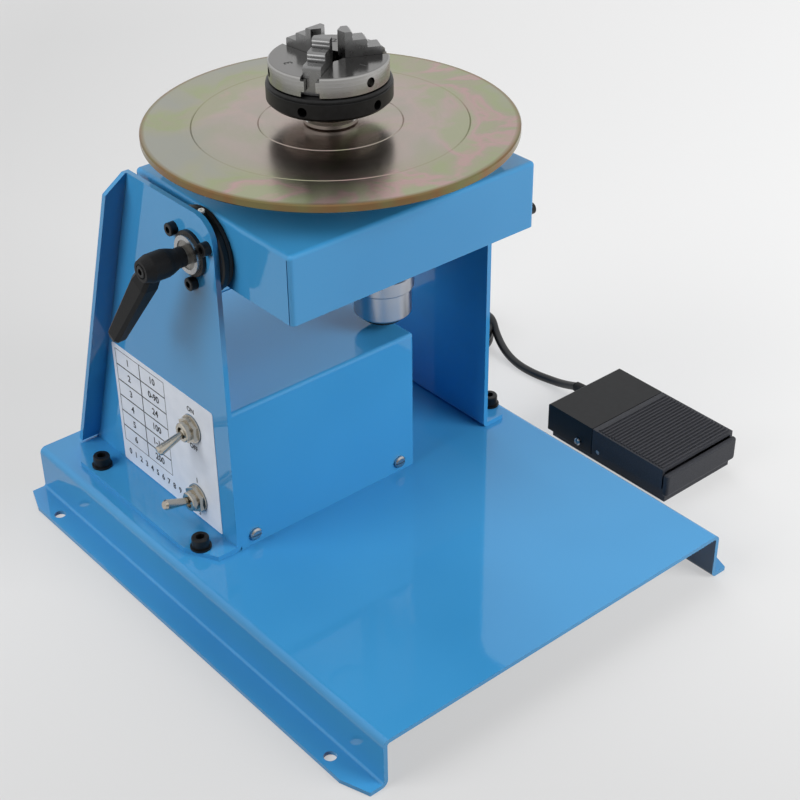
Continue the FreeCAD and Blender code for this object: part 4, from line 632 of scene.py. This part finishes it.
def jaw_figures():
    """The numbers 1 to 3 stamped on the chuck's face, each past the slot of its jaw, as thin dark
    print that is painted shade in the stamps.
    """
    figures, reach = [], 22
    for number, jaw in enumerate(JAW_AZIMUTHS, 1):
        azimuth = math.radians((jaw + 70) % 360)
        out = Vector((math.cos(azimuth), math.sin(azimuth), 0))
        place = (reach * out.x, SPINDLE_Y + reach * out.y, 295.22)
        figures.append(wording(str(number), 6.5, place, (out.y, -out.x, 0), out))
    # Dark figures: painted shade where the stamps are sunk into the face.
    return complete(merge(figures), "jaw_figures", "spindle", stamped_figure_shade_ink)


def jaw_teeth():
    """Two level gripping teeth on each of the two upper risers of a stepped jaw."""
    teeth = slab((19.0, -4.7, 300.1), (20.1, 4.7, 301.2))  # on a jaw that points to the right
    use(teeth, "BEVEL", width=0.35 * mm, segments=2)
    for next_one in ((0, 0, 2.0 * mm), (-7.8 * mm, 0, 4.5 * mm)):
        use(teeth, "ARRAY", count=2, use_relative_offset=False, use_constant_offset=True,
            constant_offset_displace=next_one)
    for number, azimuth in enumerate(JAW_AZIMUTHS, 1):
        pick(teeth)
        bpy.ops.object.duplicate()
        jaw = bpy.context.object
        jaw.location = (0, SPINDLE_Y * mm, 0)
        jaw.rotation_euler = (0, 0, math.radians(azimuth))
        # The teeth are real; their much lighter steel is a painted highlight along the risers.
        complete(settle(jaw), f"jaw_{number}_teeth", f"jaw_{number}", tooth_highlight_steel)
    bpy.data.objects.remove(teeth)


# ---------------------------------------------------------------- lip, ring and small screws


def rear_lip():
    """Folded lip along the top of the control box's back, in the cover's own sheet."""
    back = 124
    lip = slab((-88.8, 114.9, 121.5), (39.4, back, 123))
    open_piece(lip, "FACE", lambda middle, normal: normal.y > 0.99)
    bpy.ops.mesh.extrude_region_move(TRANSFORM_OT_translate={"value": (0, 1.5 * mm, 0)})
    open_piece(lip, "FACE", lambda middle, normal: normal.z < -0.99 and middle.y > back * mm)
    bpy.ops.mesh.extrude_region_move(TRANSFORM_OT_translate={"value": (0, 0, -6 * mm)})
    use(lip, "BEVEL", width=0.6 * mm, segments=3, limit_method="ANGLE")
    return complete(lip, "control_box_rear_lip", "root", enamel)


def dust_ring():
    """Rubber ring that fills the gap between the left flange and the tilt box; its black also paints
    the shade in that gap.
    """
    centre = (-83.5, SPINDLE_Y, PIVOT_HEIGHT)
    ring = rod(22.8, 2.4, centre, sides=72, lying=True)
    cut(ring, rod(14.5, 8, centre, sides=72, lying=True))
    use(ring, "BEVEL", width=0.4 * mm, segments=2, limit_method="ANGLE")
    # The black rubber is partly a ring and partly painted shade in the gap by the flange.
    return complete(ring, "pivot_dust_ring", "root", rubber)


def socket_screw(place, facing, radius, length, socket):
    """A round screw head with a hexagon socket, its underside at place, facing outwards."""
    head = rod(radius, length, (0, 0, length / 2), sides=24)
    open_piece(head, "FACE", lambda middle, normal: normal.z > 0.99)
    bpy.ops.mesh.inset(thickness=radius * 0.14 * mm)
    bpy.ops.transform.translate(value=(0, 0, radius * 0.12 * mm))
    cut(head, rod(socket, length, (0, 0, length), sides=6))
    turn = Vector(facing).to_track_quat("Z", "Y").to_matrix().to_4x4()
    head.matrix_world = Matrix.Translation([v * mm for v in place]) @ turn
    return settle(head)


def small_screws():
    """The flange's set screw with a white head, a painted highlight, and the black screw low on the
    tilt box's right wall.
    """
    set_screw = socket_screw((-86.9, 17.6, 236.4), (0, -0.174, 0.985), radius=1.7, length=1.4,
                             socket=0.7)
    # The white head paints a highlight on the flange's rim.
    complete(set_screw, "flange_set_screw", "root", white_dab_highlight_paint)
    wall_screw = socket_screw((82.9, -43.5, 204.6), (1, 0, 0), radius=3.4, length=3.6, socket=1.7)
    complete(wall_screw, "box_wall_screw", "tilt_head", oxide)


camera()
pedal_cord()
switch_label()
label_print()
jaw_figures()
jaw_teeth()
rear_lip()
dust_ring()
small_screws()
studio()
